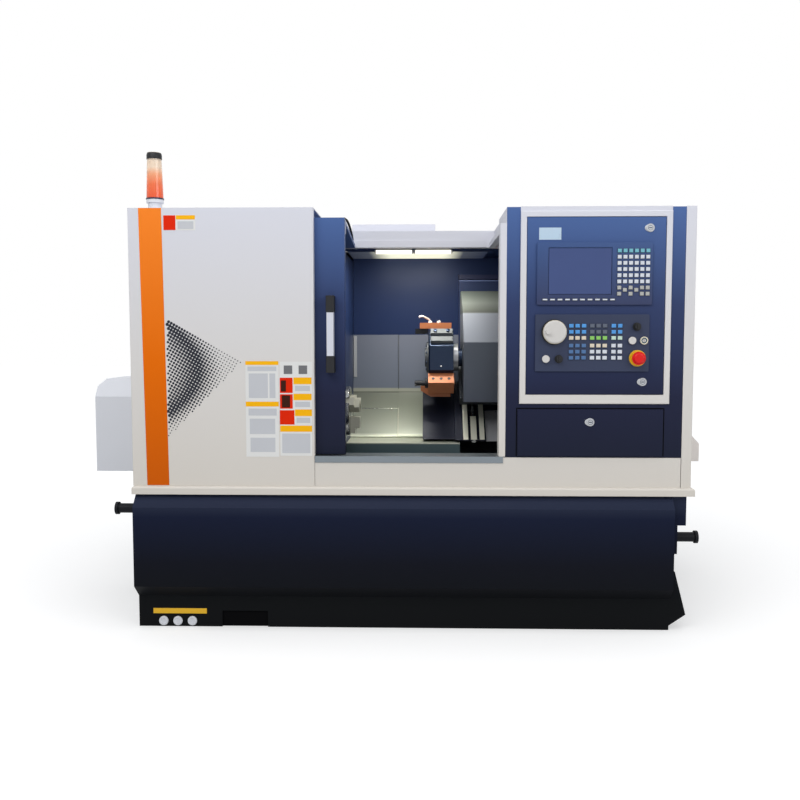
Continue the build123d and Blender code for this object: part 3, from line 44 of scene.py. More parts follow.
def rgb(red, green, blue):
    """Linear colour from display values of 0 to 255."""
    def linear(value):
        value /= 255
        return value / 12.92 if value <= 0.04045 else ((value + 0.055) / 1.055) ** 2.4
    return (linear(red), linear(green), linear(blue), 1.0)


def surface(name, colour, rough=0.5, metal=0.0, bump=0.05, grain=350.0, stretch=(1, 1, 1),
            edge=0.0012, vary=0.06, coat=0.0, glow=0.0, clear=0.0, tone=0.10, shine=0.5):
    """A procedural finish: uneven gloss, fine grain and softly rounded edges."""
    mat = bpy.data.materials.new(name)
    mat.use_nodes = True
    nodes, links = mat.node_tree.nodes, mat.node_tree.links
    shader = nodes["Principled BSDF"]
    shader.inputs["Metallic"].default_value = metal
    shader.inputs["Specular IOR Level"].default_value = shine
    shader.inputs["Coat Weight"].default_value = coat
    shader.inputs["Coat Roughness"].default_value = COAT_ROUGHNESS
    shader.inputs["Transmission Weight"].default_value = clear
    if glow:
        shader.inputs["Emission Color"].default_value = colour
        shader.inputs["Emission Strength"].default_value = glow
    place = nodes.new("ShaderNodeTexCoord")
    scale = nodes.new("ShaderNodeMapping")
    scale.inputs["Scale"].default_value = stretch
    links.new(place.outputs["Object"], scale.inputs["Vector"])
    cloud = nodes.new("ShaderNodeTexNoise")
    cloud.inputs["Scale"].default_value = CLOUD_SCALE
    cloud.inputs["Detail"].default_value = 5.0
    links.new(place.outputs["Object"], cloud.inputs["Vector"])
    gloss = nodes.new("ShaderNodeMapRange")
    gloss.inputs["From Min"].default_value, gloss.inputs["From Max"].default_value = CLOUD_RANGE
    gloss.inputs["To Min"].default_value = max(rough - vary, SMOOTHEST)
    gloss.inputs["To Max"].default_value = min(rough + vary, 1.0)
    links.new(cloud.outputs["Fac"], gloss.inputs["Value"])
    links.new(gloss.outputs["Result"], shader.inputs["Roughness"])
    tint = nodes.new("ShaderNodeMix")
    tint.data_type = "RGBA"
    tint.inputs["A"].default_value = colour
    tint.inputs["B"].default_value = tuple(c * (1 - tone) for c in colour[:3]) + (1.0,)
    links.new(cloud.outputs["Fac"], tint.inputs["Factor"])
    links.new(tint.outputs["Result"], shader.inputs["Base Color"])
    fine = nodes.new("ShaderNodeTexNoise")
    fine.inputs["Scale"].default_value = grain
    fine.inputs["Detail"].default_value = 2.0
    links.new(scale.outputs["Vector"], fine.inputs["Vector"])
    relief = nodes.new("ShaderNodeBump")
    relief.inputs["Strength"].default_value = bump
    relief.inputs["Distance"].default_value = RELIEF_DEPTH
    links.new(fine.outputs["Fac"], relief.inputs["Height"])
    if edge:
        soft = nodes.new("ShaderNodeBevel")
        soft.samples = 4
        soft.inputs["Radius"].default_value = edge
        links.new(soft.outputs["Normal"], relief.inputs["Normal"])
    links.new(relief.outputs["Normal"], shader.inputs["Normal"])
    return mat


def banded(mat, stops, low, high, axis="Z"):
    """Replace a finish's colour by colours that change along one axis, from low to high in metres."""
    nodes, links = mat.node_tree.nodes, mat.node_tree.links
    split = nodes.new("ShaderNodeSeparateXYZ")
    place = nodes.new("ShaderNodeTexCoord")
    links.new(place.outputs["Object"], split.inputs["Vector"])
    level = nodes.new("ShaderNodeMapRange")
    level.inputs["From Min"].default_value = low
    level.inputs["From Max"].default_value = high
    links.new(split.outputs[axis], level.inputs["Value"])
    ramp = nodes.new("ShaderNodeValToRGB")
    while len(ramp.color_ramp.elements) < len(stops):
        ramp.color_ramp.elements.new(0.5)
    for element, (position, colour) in zip(ramp.color_ramp.elements, stops):
        element.position = position
        element.color = colour
    links.new(level.outputs["Result"], ramp.inputs["Fac"])
    shader = nodes["Principled BSDF"]
    links.new(ramp.outputs["Color"], shader.inputs["Base Color"])
    if shader.inputs["Emission Strength"].default_value:
        links.new(ramp.outputs["Color"], shader.inputs["Emission Color"])
    return mat


# The white enamel turns cooler and lighter towards the top and warmer and darker towards the bottom: painted light
# and painted shade.
WHITE = banded(surface("white_enamel", rgb(216, 213, 210), rough=0.45, bump=0.10, grain=700, shine=0.3),
               [(0.0, rgb(213, 207, 198)), (0.45, rgb(216, 213, 210)), (1.0, rgb(214, 215, 224))], 0.52, 1.59)
# Lighter copies of the white enamel: painted light that lifts white parts standing in shade, the cylinder guard in
# the pale copy and the Z motor cover in the warm one. The work lamp, beacon base and base plugs take the pale copy
# too.
PALE = surface("pale_enamel", rgb(224, 226, 232), rough=0.45, bump=0.10, grain=700, tone=0.04, shine=0.3)
WARM = surface("warm_enamel", rgb(243, 236, 230), rough=0.45, bump=0.10, grain=700, tone=0.04, shine=0.3)
# The navy enamel grows lighter and bluer towards the top and darker towards the bottom: a painted sheen of reflected
# light above and painted shade below.
NAVY = banded(surface("navy_enamel", rgb(44, 52, 84), rough=0.40, bump=0.10, grain=700, shine=0.12),
              [(0.0, rgb(21, 26, 45)), (0.25, rgb(29, 33, 58)), (0.62, rgb(49, 62, 100)), (1.0, rgb(77, 104, 158))],
              0.66, 1.58)
LINER = surface("liner_enamel", rgb(34, 49, 88), rough=0.36, bump=0.04, grain=300, tone=0.18, shine=0.15)
# The base enamel is near black towards the floor and lighter along the top: painted shade low down and painted light
# on the top.
BASE = banded(surface("base_enamel", rgb(26, 30, 46), rough=0.50, bump=0.12, grain=600, shine=0.05),
              [(0.0, rgb(18, 19, 21)), (0.2, rgb(16, 18, 20)), (0.5, rgb(18, 20, 29)), (0.84, rgb(23, 29, 50)),
               (0.9, rgb(36, 42, 61)), (1.0, rgb(42, 48, 68))],
              0.0, 0.519)
# The orange band darkens towards the bottom and lightens towards the top: painted shade and painted light over the
# orange paint.
ORANGE = banded(surface("orange_band", rgb(246, 122, 14), rough=0.42, bump=0.06, grain=600, shine=0.1),
                [(0.0, rgb(204, 90, 0)), (0.45, rgb(230, 108, 2)), (1.0, rgb(250, 134, 40))], 0.55, 1.59)
# Bands along the height of the way guards: darker at the foot as painted shade, painted highlights along the lower
# lip and along the fold, shade between them, and a bluer grey above the fold.
STAINLESS = banded(surface("stainless", rgb(150, 154, 146), rough=0.42, metal=0.4, bump=0.06, grain=40,
                           stretch=(1, 18, 18), vary=0.10),
                   [(0.0, rgb(84, 104, 110)), (0.07, rgb(90, 108, 112)), (0.08, rgb(230, 234, 214)),
                    (0.12, rgb(146, 151, 141)), (0.36, rgb(117, 122, 112)), (0.47, rgb(112, 116, 108)),
                    (0.476, rgb(176, 178, 164)), (0.50, rgb(176, 178, 164)), (0.51, rgb(120, 128, 144)),
                    (1.0, rgb(112, 117, 132))], 0.60, 1.125)
# The turret cover's colour changes with height: dark low down as painted shade, lighter higher up as painted light,
# with a darker line across the lit band.
STAINLESS_UP = banded(surface("stainless_upright", rgb(180, 184, 186), rough=0.42, metal=0.5, bump=0.06,
                              grain=40, stretch=(18, 18, 1), vary=0.06),
                      [(0.0, rgb(70, 76, 88)), (0.52, rgb(76, 82, 92)), (0.53, rgb(120, 124, 132)),
                       (0.78, rgb(136, 140, 148)), (0.79, rgb(98, 101, 96)), (0.88, rgb(138, 144, 139)),
                       (1.0, rgb(112, 120, 115))], 0.832, 1.325)
STEEL = surface("turned_steel", rgb(190, 192, 190), rough=0.26, metal=1.0, bump=0.06, grain=220)
GROUND = surface("ground_steel", rgb(222, 223, 222), rough=0.18, metal=1.0, bump=0.04, grain=300)
DARK_STEEL = surface("dark_steel", rgb(29, 44, 68), rough=0.34, metal=0.6, bump=0.08, grain=240)
IRON = surface("cast_iron", rgb(88, 92, 98), rough=0.55, metal=0.6, bump=0.25, grain=260)
TOWER = banded(surface("saddle_paint", rgb(88, 92, 98), rough=0.42, metal=0.2, bump=0.12, grain=400, shine=0.3),
               [(0.49, rgb(34, 38, 54)), (0.51, rgb(38, 50, 84))], 0.180, 0.190, "Y")
COPPER = surface("copper_block", rgb(172, 103, 62), rough=0.46, metal=0.25, bump=0.10, grain=300)
BLACKED = surface("blackened_tool", rgb(30, 31, 34), rough=0.35, metal=0.7, bump=0.08, grain=300)
ALUMINIUM = surface("aluminium", rgb(124, 132, 138), rough=0.38, metal=0.9, bump=0.08, grain=60,
                    stretch=(1, 20, 20))
CHROME = surface("chrome", rgb(226, 226, 224), rough=0.12, metal=1.0, bump=0.02, grain=300)
BLACK = surface("black_plastic", rgb(24, 25, 28), rough=0.48, bump=0.12, grain=900, shine=0.3)
BLACK_PAINT = surface("black_paint", rgb(23, 25, 31), rough=0.42, bump=0.10, grain=500, shine=0.12)
RUBBER = surface("rubber", rgb(20, 20, 22), rough=0.75, bump=0.20, grain=700, shine=0.2)
CREAM = surface("cream_plastic", rgb(212, 209, 205), rough=0.34, bump=0.04, grain=500, coat=0.2)
GRIP = surface("grip_plastic", rgb(214, 216, 226), rough=0.34, bump=0.05, grain=500)
# The frame of the CNC unit turns lighter and bluer towards the top: a painted sheen of reflected light.
UNIT = banded(surface("unit_frame", rgb(44, 54, 90), rough=0.42, bump=0.15, grain=900, shine=0.3),
              [(0.0, rgb(42, 50, 84)), (1.0, rgb(56, 82, 132))], 1.22, 1.46)
SLATE = surface("panel_slate", rgb(45, 54, 80), rough=0.50, bump=0.15, grain=900, shine=0.3)
KEY_BODY = surface("key_body", rgb(46, 52, 70), rough=0.55, bump=0.08, grain=900, shine=0.3)
RED = surface("red_plastic", rgb(222, 6, 4), rough=0.32, bump=0.02, grain=400, coat=0.1, shine=0.3)
YELLOW = surface("yellow_plastic", rgb(240, 186, 20), rough=0.35, bump=0.03, grain=400)
SCREEN = surface("screen", rgb(60, 79, 132), rough=0.14, bump=0.01, grain=200, tone=0.25, shine=0.4)
GLASS = surface("window_glass", rgb(150, 168, 178), rough=0.05, bump=0.01, grain=50, clear=0.9, edge=0)
TUBE = surface("lamp_tube", rgb(255, 250, 226), rough=0.4, bump=0.02, glow=1.6, edge=0)
# The ceiling panel glows though it is no lamp: painted light from the tubes, bright in the middle, with painted shade
# towards both ends.
CEILING = banded(surface("lit_ceiling", rgb(200, 204, 170), rough=0.5, bump=0.02, edge=0, shine=0.3, glow=1.0),
                 [(0.0, rgb(30, 35, 50)), (0.20, rgb(66, 70, 78)), (0.34, rgb(240, 240, 214)),
                  (0.72, rgb(240, 240, 214)), (0.84, rgb(66, 70, 78)), (1.0, rgb(38, 44, 60))],
                 -0.33, 0.34, "X")
# The ground ways and screw cover in a pale, nearly white, barely metallic finish: their bright steel, with a painted
# highlight of the lamp light on them.
WAY = surface("way_steel_painted_highlight", rgb(216, 216, 198), rough=0.40, metal=0.15, bump=0.05, grain=300)
JAW = surface("jaw_steel", rgb(178, 177, 163), rough=0.38, metal=0.3, bump=0.05, grain=280)
CLAMP = surface("clamp_steel", rgb(92, 96, 100), rough=0.62, metal=0.25, bump=0.06, grain=260)
LOCK = surface("lock_silver", rgb(184, 186, 190), rough=0.34, metal=0.4, bump=0.03, edge=0.0005)
# Near-black finish for painted shade: in the fork slot of the base and in the gap round the storage flap.
SHADE = surface("slot_shade", rgb(8, 8, 10), rough=0.8, bump=0.05, edge=0, shine=0.05)
# The ledge on the tower is darkened well below the navy around it as painted shade; the light blue line under it is a
# painted highlight on its edge.
LEDGE = surface("ledge_enamel", rgb(28, 34, 66), rough=0.4, bump=0.06, grain=500, shine=0.3)
LEDGE_HIGHLIGHT = surface("ledge_painted_highlight", rgb(96, 112, 160), rough=0.4, bump=0.04, edge=0)
DOT = surface("dot_ink", rgb(24, 28, 40), rough=0.5, bump=0.05, edge=0, shine=0.3)
PAPER = surface("label_white", rgb(224, 224, 222), rough=0.35, bump=0.03, edge=0, tone=0.03)
PRINT = surface("label_grey", rgb(196, 198, 203), rough=0.4, bump=0.03, edge=0)
INK = surface("label_dark", rgb(104, 105, 108), rough=0.4, bump=0.03, edge=0)
AMBER = surface("label_amber", rgb(250, 182, 8), rough=0.45, bump=0.03, edge=0, tone=0.03, shine=0.15)
LABEL_RED = surface("label_red", rgb(226, 40, 2), rough=0.45, bump=0.03, edge=0, tone=0.05, shine=0.1)
LABEL_BROWN = surface("label_brown", rgb(56, 24, 14), rough=0.5, bump=0.03, edge=0, shine=0.1)
SILVER = surface("plate_silver", rgb(186, 208, 226), rough=0.3, bump=0.03, edge=0, tone=0.03)
# The beacon lens runs from dark red at its foot to nearly white at the top: painted shade below and a painted
# highlight above.
LENS = banded(
    surface("beacon_lens", rgb(255, 140, 70), rough=0.16, bump=0.05, grain=90, stretch=(1, 1, 0.02),
            clear=0.45, coat=0.4),
    [(0.0, rgb(150, 40, 16)), (0.05, rgb(255, 92, 24)), (0.35, rgb(255, 120, 58)),
     (0.62, rgb(255, 178, 130)), (0.78, rgb(255, 232, 206))],
    1.634, 1.786)

FINISH = {
    WHITE: "headstock_cover lower_front_panel right_end_panel rear_panel roof_panel rear_cabinet "
           "cabinet_shell panel_trim_frame",
    PALE: "cylinder_guard work_lamp beacon_base",
    WARM: "z_motor_cover",
    NAVY: "door_panel door_hood cabinet_fascia control_door storage_flap",
    LINER: "inner_rear_wall headstock_bulkhead",
    BASE: "base_housing coolant_tank",
    UNIT: "cnc_unit",
    SLATE: "operator_panel",
    KEY_BODY: "key_pads",
    BLACK: "door_handle feed_knob mode_knob",
    CREAM: "handwheel start_button stop_button key_switch",
    RED: "estop",
    LENS: "beacon_lens",
    GLASS: "door_window",
    IRON: "bed_casting headstock cross_slide",
    TOWER: "saddle",
    STAINLESS: "way_cover_fixed sliding_guard",
    STAINLESS_UP: "turret_cover",
    STEEL: "spindle chuck x_screw z_screw motor_pulley leveling_feet",
    JAW: "jaw_1 jaw_2 jaw_3",
    DARK_STEEL: "turret_disc",
    BLACK_PAINT: "spindle_motor lifting_bars",
    COPPER: "tool_holders",
    BLACKED: "cutting_tools",
    ALUMINIUM: "door_tracks",
    LOCK: "upper_lock lower_lock flap_lock",
    RUBBER: "drive_belt",
}
for finish, names in FINISH.items():
    for name in names.split():
        NODES[name].data.materials.clear()
        NODES[name].data.materials.append(finish)


# Building blocks of the detail pieces

def add(name, verts, faces, finish, body, slot=None, smooth=False):
    """A mesh piece in the machine's frame, riding on a body."""
    mesh = bpy.data.meshes.new(name)
    mesh.from_pydata(verts, [], faces)
    mesh.validate()
    mesh.materials.append(finish)
    if smooth:
        mesh.shade_smooth()
    piece = bpy.data.objects.new(name, mesh)
    bpy.context.scene.collection.objects.link(piece)
    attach(piece, body)
    return piece


BLOCK_FACES = [(0, 1, 2, 3), (7, 6, 5, 4), (0, 4, 5, 1), (1, 5, 6, 2), (2, 6, 7, 3), (3, 7, 4, 0)]


def box_mesh(x, y, z, inset=0.0):
    """Corners and faces of a block; inset narrows the face towards the operator."""
    front = [(x[0] + inset, y[0], z[0] + inset), (x[1] - inset, y[0], z[0] + inset),
             (x[1] - inset, y[0], z[1] - inset), (x[0] + inset, y[0], z[1] - inset)]
    back = [(x[0], y[1], z[0]), (x[1], y[1], z[0]), (x[1], y[1], z[1]), (x[0], y[1], z[1])]
    return front + back, BLOCK_FACES


def join(parts):
    """Several corner and face lists as one."""
    verts, faces = [], []
    for some_verts, some_faces in parts:
        start = len(verts)
        verts += some_verts
        faces += [tuple(i + start for i in face) for face in some_faces]
    return verts, faces


def blocks(name, boxes, finish, body, slot=None, inset=0.0):
    """One piece made of several blocks, given in millimetres as X, depth and Z limits."""
    made = [box_mesh(tuple(v / 1000 for v in x), tuple(FRONT + v / 1000 for v in y),
                     tuple(v / 1000 for v in z), inset / 1000) for x, y, z in boxes]
    return add(name, *join(made), finish, body, slot)


CREASE = math.radians(35)


def turned(name, centre, axis, profile, finish, body, slot=None, count=40, closed=False):
    """A turned piece: profile points are (distance along axis, radius) in metres."""
    axis = Vector(axis).normalized()
    side = axis.orthogonal().normalized()
    other = axis.cross(side)
    verts, faces = [], []
    for along, radius in profile:
        for step in range(count):
            angle = 2 * math.pi * step / count
            point = Vector(centre) + axis * along + (side * math.cos(angle) + other * math.sin(angle)) * radius
            verts.append(tuple(point))
    rings = len(profile)
    for ring in range(rings if closed else rings - 1):
        low, high = ring * count, ((ring + 1) % rings) * count
        for step in range(count):
            after = (step + 1) % count
            faces.append((low + step, low + after, high + after, high + step))
    if not closed:
        faces.append(tuple(reversed(range(count))))
        faces.append(tuple(range((rings - 1) * count, rings * count)))
    piece = add(name, verts, faces, finish, body, slot, smooth=True)
    piece.modifiers.new("edges", "EDGE_SPLIT").split_angle = CREASE
    return piece


def ring(name, centre, axis, inner, outer, low, high, finish, body, slot=None, count=40):
    """A plain ring about an axis."""
    profile = [(low, inner), (low, outer), (high, outer), (high, inner)]
    return turned(name, centre, axis, profile, finish, body, slot, count, closed=True)


def tube(name, points, radius, finish, body):
    """A round wire or hose through the given points."""
    curve = bpy.data.curves.new(name + "_path", "CURVE")
    curve.dimensions = "3D"
    curve.bevel_depth = radius
    curve.bevel_resolution = 3
    curve.resolution_u = 6
    curve.use_fill_caps = True
    line = curve.splines.new("BEZIER")
    line.bezier_points.add(len(points) - 1)
    for knot, point in zip(line.bezier_points, points):
        knot.co = point
        knot.handle_left_type = knot.handle_right_type = "AUTO"
    path = bpy.data.objects.new(name + "_path", curve)
    bpy.context.scene.collection.objects.link(path)
    mesh = bpy.data.meshes.new_from_object(path.evaluated_get(bpy.context.evaluated_depsgraph_get()))
    bpy.data.objects.remove(path)
    mesh.materials.clear()
    mesh.materials.append(finish)
    piece = bpy.data.objects.new(name, mesh)
    bpy.context.scene.collection.objects.link(piece)
    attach(piece, body)
    return piece


TO_OPERATOR = (0, -1, 0)
SLANT_FOOT = Vector((0, FRONT + 0.500, 0.795))
UP_SLANT = Vector((0, 1, 1)).normalized()
OFF_SLANT = Vector((0, -1, 1)).normalized()


def slanted(name, boxes, finish, body, slot=None):
    """One piece of blocks on the slanted bed, with limits in X, up the slant and off it in millimetres."""
    made = []
    for limits in boxes:
        verts, faces = box_mesh(*(tuple(v / 1000 for v in span) for span in limits))
        corners = [tuple(SLANT_FOOT + Vector((x, 0, 0)) + UP_SLANT * up + OFF_SLANT * off) for x, up, off in verts]
        made.append((corners, faces))
    return add(name, *join(made), finish, body, slot)


def front_point(x, depth, z):
    """A point in metres from X, depth behind the front and Z in millimetres."""
    return (x / 1000, FRONT + depth / 1000, z / 1000)


# Paint and plain label fields on the headstock cover
SKIN = (-0.5, -0.05)
band = [(-1009, 1589.5), (-995, 552), (-911, 552), (-923, 1589.5)]
band_front = [front_point(x, SKIN[0], z) for x, z in band]
band_back = [front_point(x, SKIN[1], z) for x, z in band]
add("orange_band", band_front + band_back, BLOCK_FACES, ORANGE, "machine")

PITCH = 11.4
TILT = math.radians(-29.6)
CORNERS = [(-909, 1176), (-626, 1022), (-911, 736)]
GRID_MIDDLE = (-800, 980)
GRID_REACH = 60
DOT_SIDES = 8
DOT_DEPTH = -0.4
DOT_SIZES = (0.21, 0.36)
RIDGE_TIP = (-792, 992)
RIDGE_BEND = (68, 130)
FADE_LEFT, FADE_RIGHT = 220, 95


def inside(x, z):
    """Whether a point lies in the triangle of the pattern."""
    signs = []
    for (ax, az), (bx, bz) in zip(CORNERS, CORNERS[1:] + CORNERS[:1]):
        signs.append((bx - ax) * (z - az) - (bz - az) * (x - ax) < 0)
    return all(signs)


dot_verts, dot_faces = [], []
for row in range(-GRID_REACH, GRID_REACH + 1):
    for column in range(-GRID_REACH, GRID_REACH + 1):
        x = GRID_MIDDLE[0] + PITCH * (column * math.cos(TILT) - row * math.sin(TILT))
        z = GRID_MIDDLE[1] + PITCH * (column * math.sin(TILT) + row * math.cos(TILT))
        if not inside(x, z):
            continue
        ridge = RIDGE_TIP[0] - RIDGE_BEND[0] * ((z - RIDGE_TIP[1]) / RIDGE_BEND[1]) ** 2
        dense = max(0.0, 1 - abs(x - ridge) / (FADE_LEFT if x < ridge else FADE_RIGHT))
        radius = PITCH * (DOT_SIZES[0] + DOT_SIZES[1] * dense)
        start = len(dot_verts)
        for step in range(DOT_SIDES):
            angle = TILT + 2 * math.pi * (step + 0.5) / DOT_SIDES
            dot_verts.append(front_point(x + radius * math.cos(angle), DOT_DEPTH, z + radius * math.sin(angle)))
        dot_faces.append(tuple(range(start, start + DOT_SIDES)))
add("halftone_dots", dot_verts, dot_faces, DOT, "machine")

blocks("label_sheets", [((-616, -492), SKIN, (662, 1022)), ((-487, -367), SKIN, (666, 1020)),
                        ((-916, -796), SKIN, (1507, 1563))], PAPER, "machine")
OVER = (-0.8, -0.55)
TOP_LAYER = (-1.0, -0.82)
blocks("label_amber_fields", [
    ((-616, -492), OVER, (1008, 1022)), ((-616, -492), OVER, (852, 870)),
    ((-436, -368), OVER, (936, 961)), ((-436, -368), OVER, (876, 900)), ((-431, -367), OVER, (816, 841)),
    ((-487, -367), OVER, (757, 780)), ((-868, -797), OVER, (1547, 1562)),
], AMBER, "machine")
blocks("label_red_fields", [
    ((-487, -439), OVER, (903, 960)), ((-487, -439), OVER, (844, 898)), ((-488, -433), OVER, (784, 838)),
    ((-915, -870), OVER, (1508, 1562)),
], LABEL_RED, "machine")
blocks("label_grey_fields", [
    ((-608, -500), OVER, (985, 1002)), ((-604, -532), OVER, (884, 976)), ((-526, -504), OVER, (884, 976)),
    ((-606, -500), OVER, (818, 844)), ((-602, -506), OVER, (748, 806)), ((-600, -506), OVER, (680, 734)),
    ((-430, -374), OVER, (910, 930)), ((-430, -374), OVER, (850, 870)), ((-425, -374), OVER, (790, 810)),
    ((-480, -374), OVER, (676, 750)), ((-862, -803), OVER, (1512, 1540)),
], PRINT, "machine")
blocks("label_dark_fields", [
    ((-472, -440), OVER, (974, 1006)), ((-416, -384), OVER, (974, 1006)),
], INK, "machine")
blocks("label_brown_fields", [((-483, -464), TOP_LAYER, (908, 950)), ((-480, -449), TOP_LAYER, (848, 894))],
       LABEL_BROWN, "machine")

# Base: plain yellow strip, the three round plugs, and a near-black sheet in the fork slot as painted shade
TOE = 20
PLUG_HEIGHT = 22
PLUG_PROFILE = [(0, 0.018), (0.004, 0.018), (0.006, 0.016), (0.006, 0.010), (0.0045, 0.009)]
blocks("yellow_strip", [((-988, -781), (TOE - 0.6, TOE - 0.05), (50, 70.5))], YELLOW, "machine")
for number, x in enumerate((-948, -893, -837)):
    turned(f"base_plug_{number + 1}", front_point(x, TOE - 0.1, PLUG_HEIGHT), TO_OPERATOR, PLUG_PROFILE, PALE,
           "machine")
blocks("fork_slot_painted_shade", [((-735, -531), (26.5, 28), (1, 66))], SHADE, "machine")

# Headstock cover: plain upstands that close the step down to the roof, at the rear and beside it
blocks("cover_upstands", [((-1045, -359), (1396.5, 1399.5), (1566.2, 1585.9)),
                          ((-361, -358.2), (572, 1396), (1571.2, 1585.9))], WHITE, "machine")

# Door: grip sleeve, and the edge strip and seal of the hood
blocks("handle_sleeve", [((-311.2, -282.8), (-7.0, 11.6), (1040, 1205))], GRIP, "door", inset=1.5)
blocks("hood_edge_strip", [((-244.9, -243.4), (69.5, 78), (1500, 1552))], WHITE, "door")
tube("hood_seal", [front_point(-249, 74, 1558), front_point(-249, 220, 1566), front_point(-249, 380, 1549),
                   front_point(-249, 470, 1524)], 0.005, RUBBER, "door")

# Work lamp: two tubes, and the ceiling panel behind them, which glows with painted light from the tubes
LAMP_TUBES = ((-161, 4), (12, 176))
TUBE_DEPTH, TUBE_HEIGHT = 612, 1486
TUBE_RADIUS = 0.0086
TUBE_GAP = 0.004
for number, (left, right) in enumerate(LAMP_TUBES):
    turned(f"lamp_tube_{number + 1}", front_point(left, TUBE_DEPTH, TUBE_HEIGHT), (1, 0, 0),
           [(TUBE_GAP, TUBE_RADIUS), ((right - left) / 1000 - TUBE_GAP, TUBE_RADIUS)], TUBE, "machine", count=20)
blocks("ceiling_panel", [((-288, 340), (692, 1010), (1493.9, 1494.9))], CEILING, "machine")

# Work area: upright strip beside the partition, the fold line of the way guards as a bright strip of painted
# highlight, and the wiper and edge of the way guards
blocks("partition_strip", [((-287, -272), (996, 1002.5), (920, 1119))], LOCK, "machine", "stainless")
slanted("guard_fold_painted_highlight", [((-250, -72), (286, 289), (-321.95, -321.3))], GROUND, "machine", "stainless")
slanted("guard_wiper", [((-69.5, -65.5), (120, 286), (-315.95, -314.8))], JAW, "carriage", "stainless")
blocks("guard_edge", [((-69.5, -66.5), (995.8, 996.95), (862, 1124))], CLAMP, "carriage", "stainless")

# Carriage: ground faces of the cross ways and the screw cover, pale with painted highlight; the side plate, light
# silver as painted light; and the ledge on the tower, dark navy as painted shade above a light line of painted
# highlight
WAY_LENGTH = (-43, 328)
WAY_SKIN = (-144.97, -144.75)
slanted("way_faces", [((229, 251), WAY_LENGTH, WAY_SKIN), ((301, 323), WAY_LENGTH, WAY_SKIN)], WAY, "carriage",
        "machined_steel")
slanted("screw_cover", [((263, 289), (-43, 92), (-145.9, -145.1))], WAY, "carriage", "machined_steel")
# The side plate takes the light silver of the locks: painted light that lifts it out of the shade under the turret.
slanted("saddle_plate", [((332, 498), (-29, 150), (-174.95, -173.8))], LOCK, "carriage", "stainless")
blocks("tower_ledge", [((220, 432), (915, 990), (1385.1, 1412))], LEDGE, "carriage", inset=3)
blocks("tower_edge_painted_highlight", [((221, 431), (923.2, 924.9), (1379, 1384))], LEDGE_HIGHLIGHT, "carriage")

# Beacon: cap over the lens top, and the dark ring under it
BEACON = (-0.972, FRONT + 0.090, 0)
turned("beacon_cap", (BEACON[0], BEACON[1], 1.786), (0, 0, 1),
       [(-0.002, 0.0286), (0.014, 0.0286), (0.021, 0.0262), (0.0226, 0.022)], BLACK, "machine", "black_plastic")
ring("beacon_ring", (BEACON[0], BEACON[1], 1.636), (0, 0, 1), 0.0325, 0.0335, -0.003, 0.002, DARK_STEEL, "machine")

# Control cabinet: white strip between the trim frame and the top edge
blocks("trim_cap", [((407, 961), (-1.2, -0.05), (1573.2, 1589.8))], WHITE, "machine")

# The dark seam round the opening of the storage flap, widened into a near-black strip of painted shade
blocks("flap_gap_painted_shade", [((396.5, 945.5), (-0.7, -0.05), (845.3, 848.8)), ((396.5, 399.7), (-0.7, -0.05), (668, 845.3)),
                     ((942.3, 945.5), (-0.7, -0.05), (668, 845.3))], SHADE, "machine")

# Control door: small bright plate, screen, key caps
blocks("silver_plate", [((474, 555), (-6.6, -6.05), (1468, 1512))], SILVER, "control_door")
blocks("screen_pane", [((510, 739), (-12.6, -10.05), (1269, 1437))], SCREEN, "control_door", inset=0.6)

KEY_SHADES = {"teal": (110, 180, 196), "white": (214, 219, 228), "grey": (176, 176, 172), "blue": (76, 152, 222),
              "cream": (222, 210, 190), "slate": (70, 108, 156), "dark": (84, 92, 108), "green": (136, 200, 96),
              "mint": (196, 222, 206)}
KEY_COLOURS = {name: surface(f"key_{name}", rgb(*shade), rough=0.45, bump=0.05, edge=0.0005)
               for name, shade in KEY_SHADES.items()}
UNIT_KEYS, PANEL_KEYS = -17, -15
CAP_SKIN = (-0.9, -0.05)
SOFT_KEY_MIDDLE = (620, 1249)
SOFT_KEYS, SOFT_KEY_PITCH = 10, 27.4
SOFT_CAP = (17, 5.5)
KEYPAD_CORNER = (767, 1427)
KEYPAD_PITCH = (20.7, 22.4)
KEYPAD_ROWS, KEYPAD_COLUMNS, KEYPAD_WHOLE_ROWS = 8, 6, 6
KEYPAD_CAP = (14.5, 13.5)
LONE_COLUMNS, LONE_DROP = (1, 3), 142.6
KEY_GROUPS = (
    (618, 3, ("blue", "blue", "cream", "slate", "slate", "slate")),
    (695, 3, ("dark", "dark", "green", "cream", "white", "white")),
    (762, 2, ("blue", "blue", "mint", "white", "white", "white")),
)
GROUP_PITCH = (23.2, 22.4)
GROUP_CAP = (16.5, 13.5)
ROW_BANDS = (1131, 1058)
caps = {colour: [] for colour in KEY_COLOURS}


def cap(colour, x, z, size, depth):
    """Note one key cap, by its middle, its size and the depth of the key under it."""
    wide, high = size
    caps[colour].append(((x - wide / 2, x + wide / 2), (depth + CAP_SKIN[0], depth + CAP_SKIN[1]),
                         (z - high / 2, z + high / 2)))


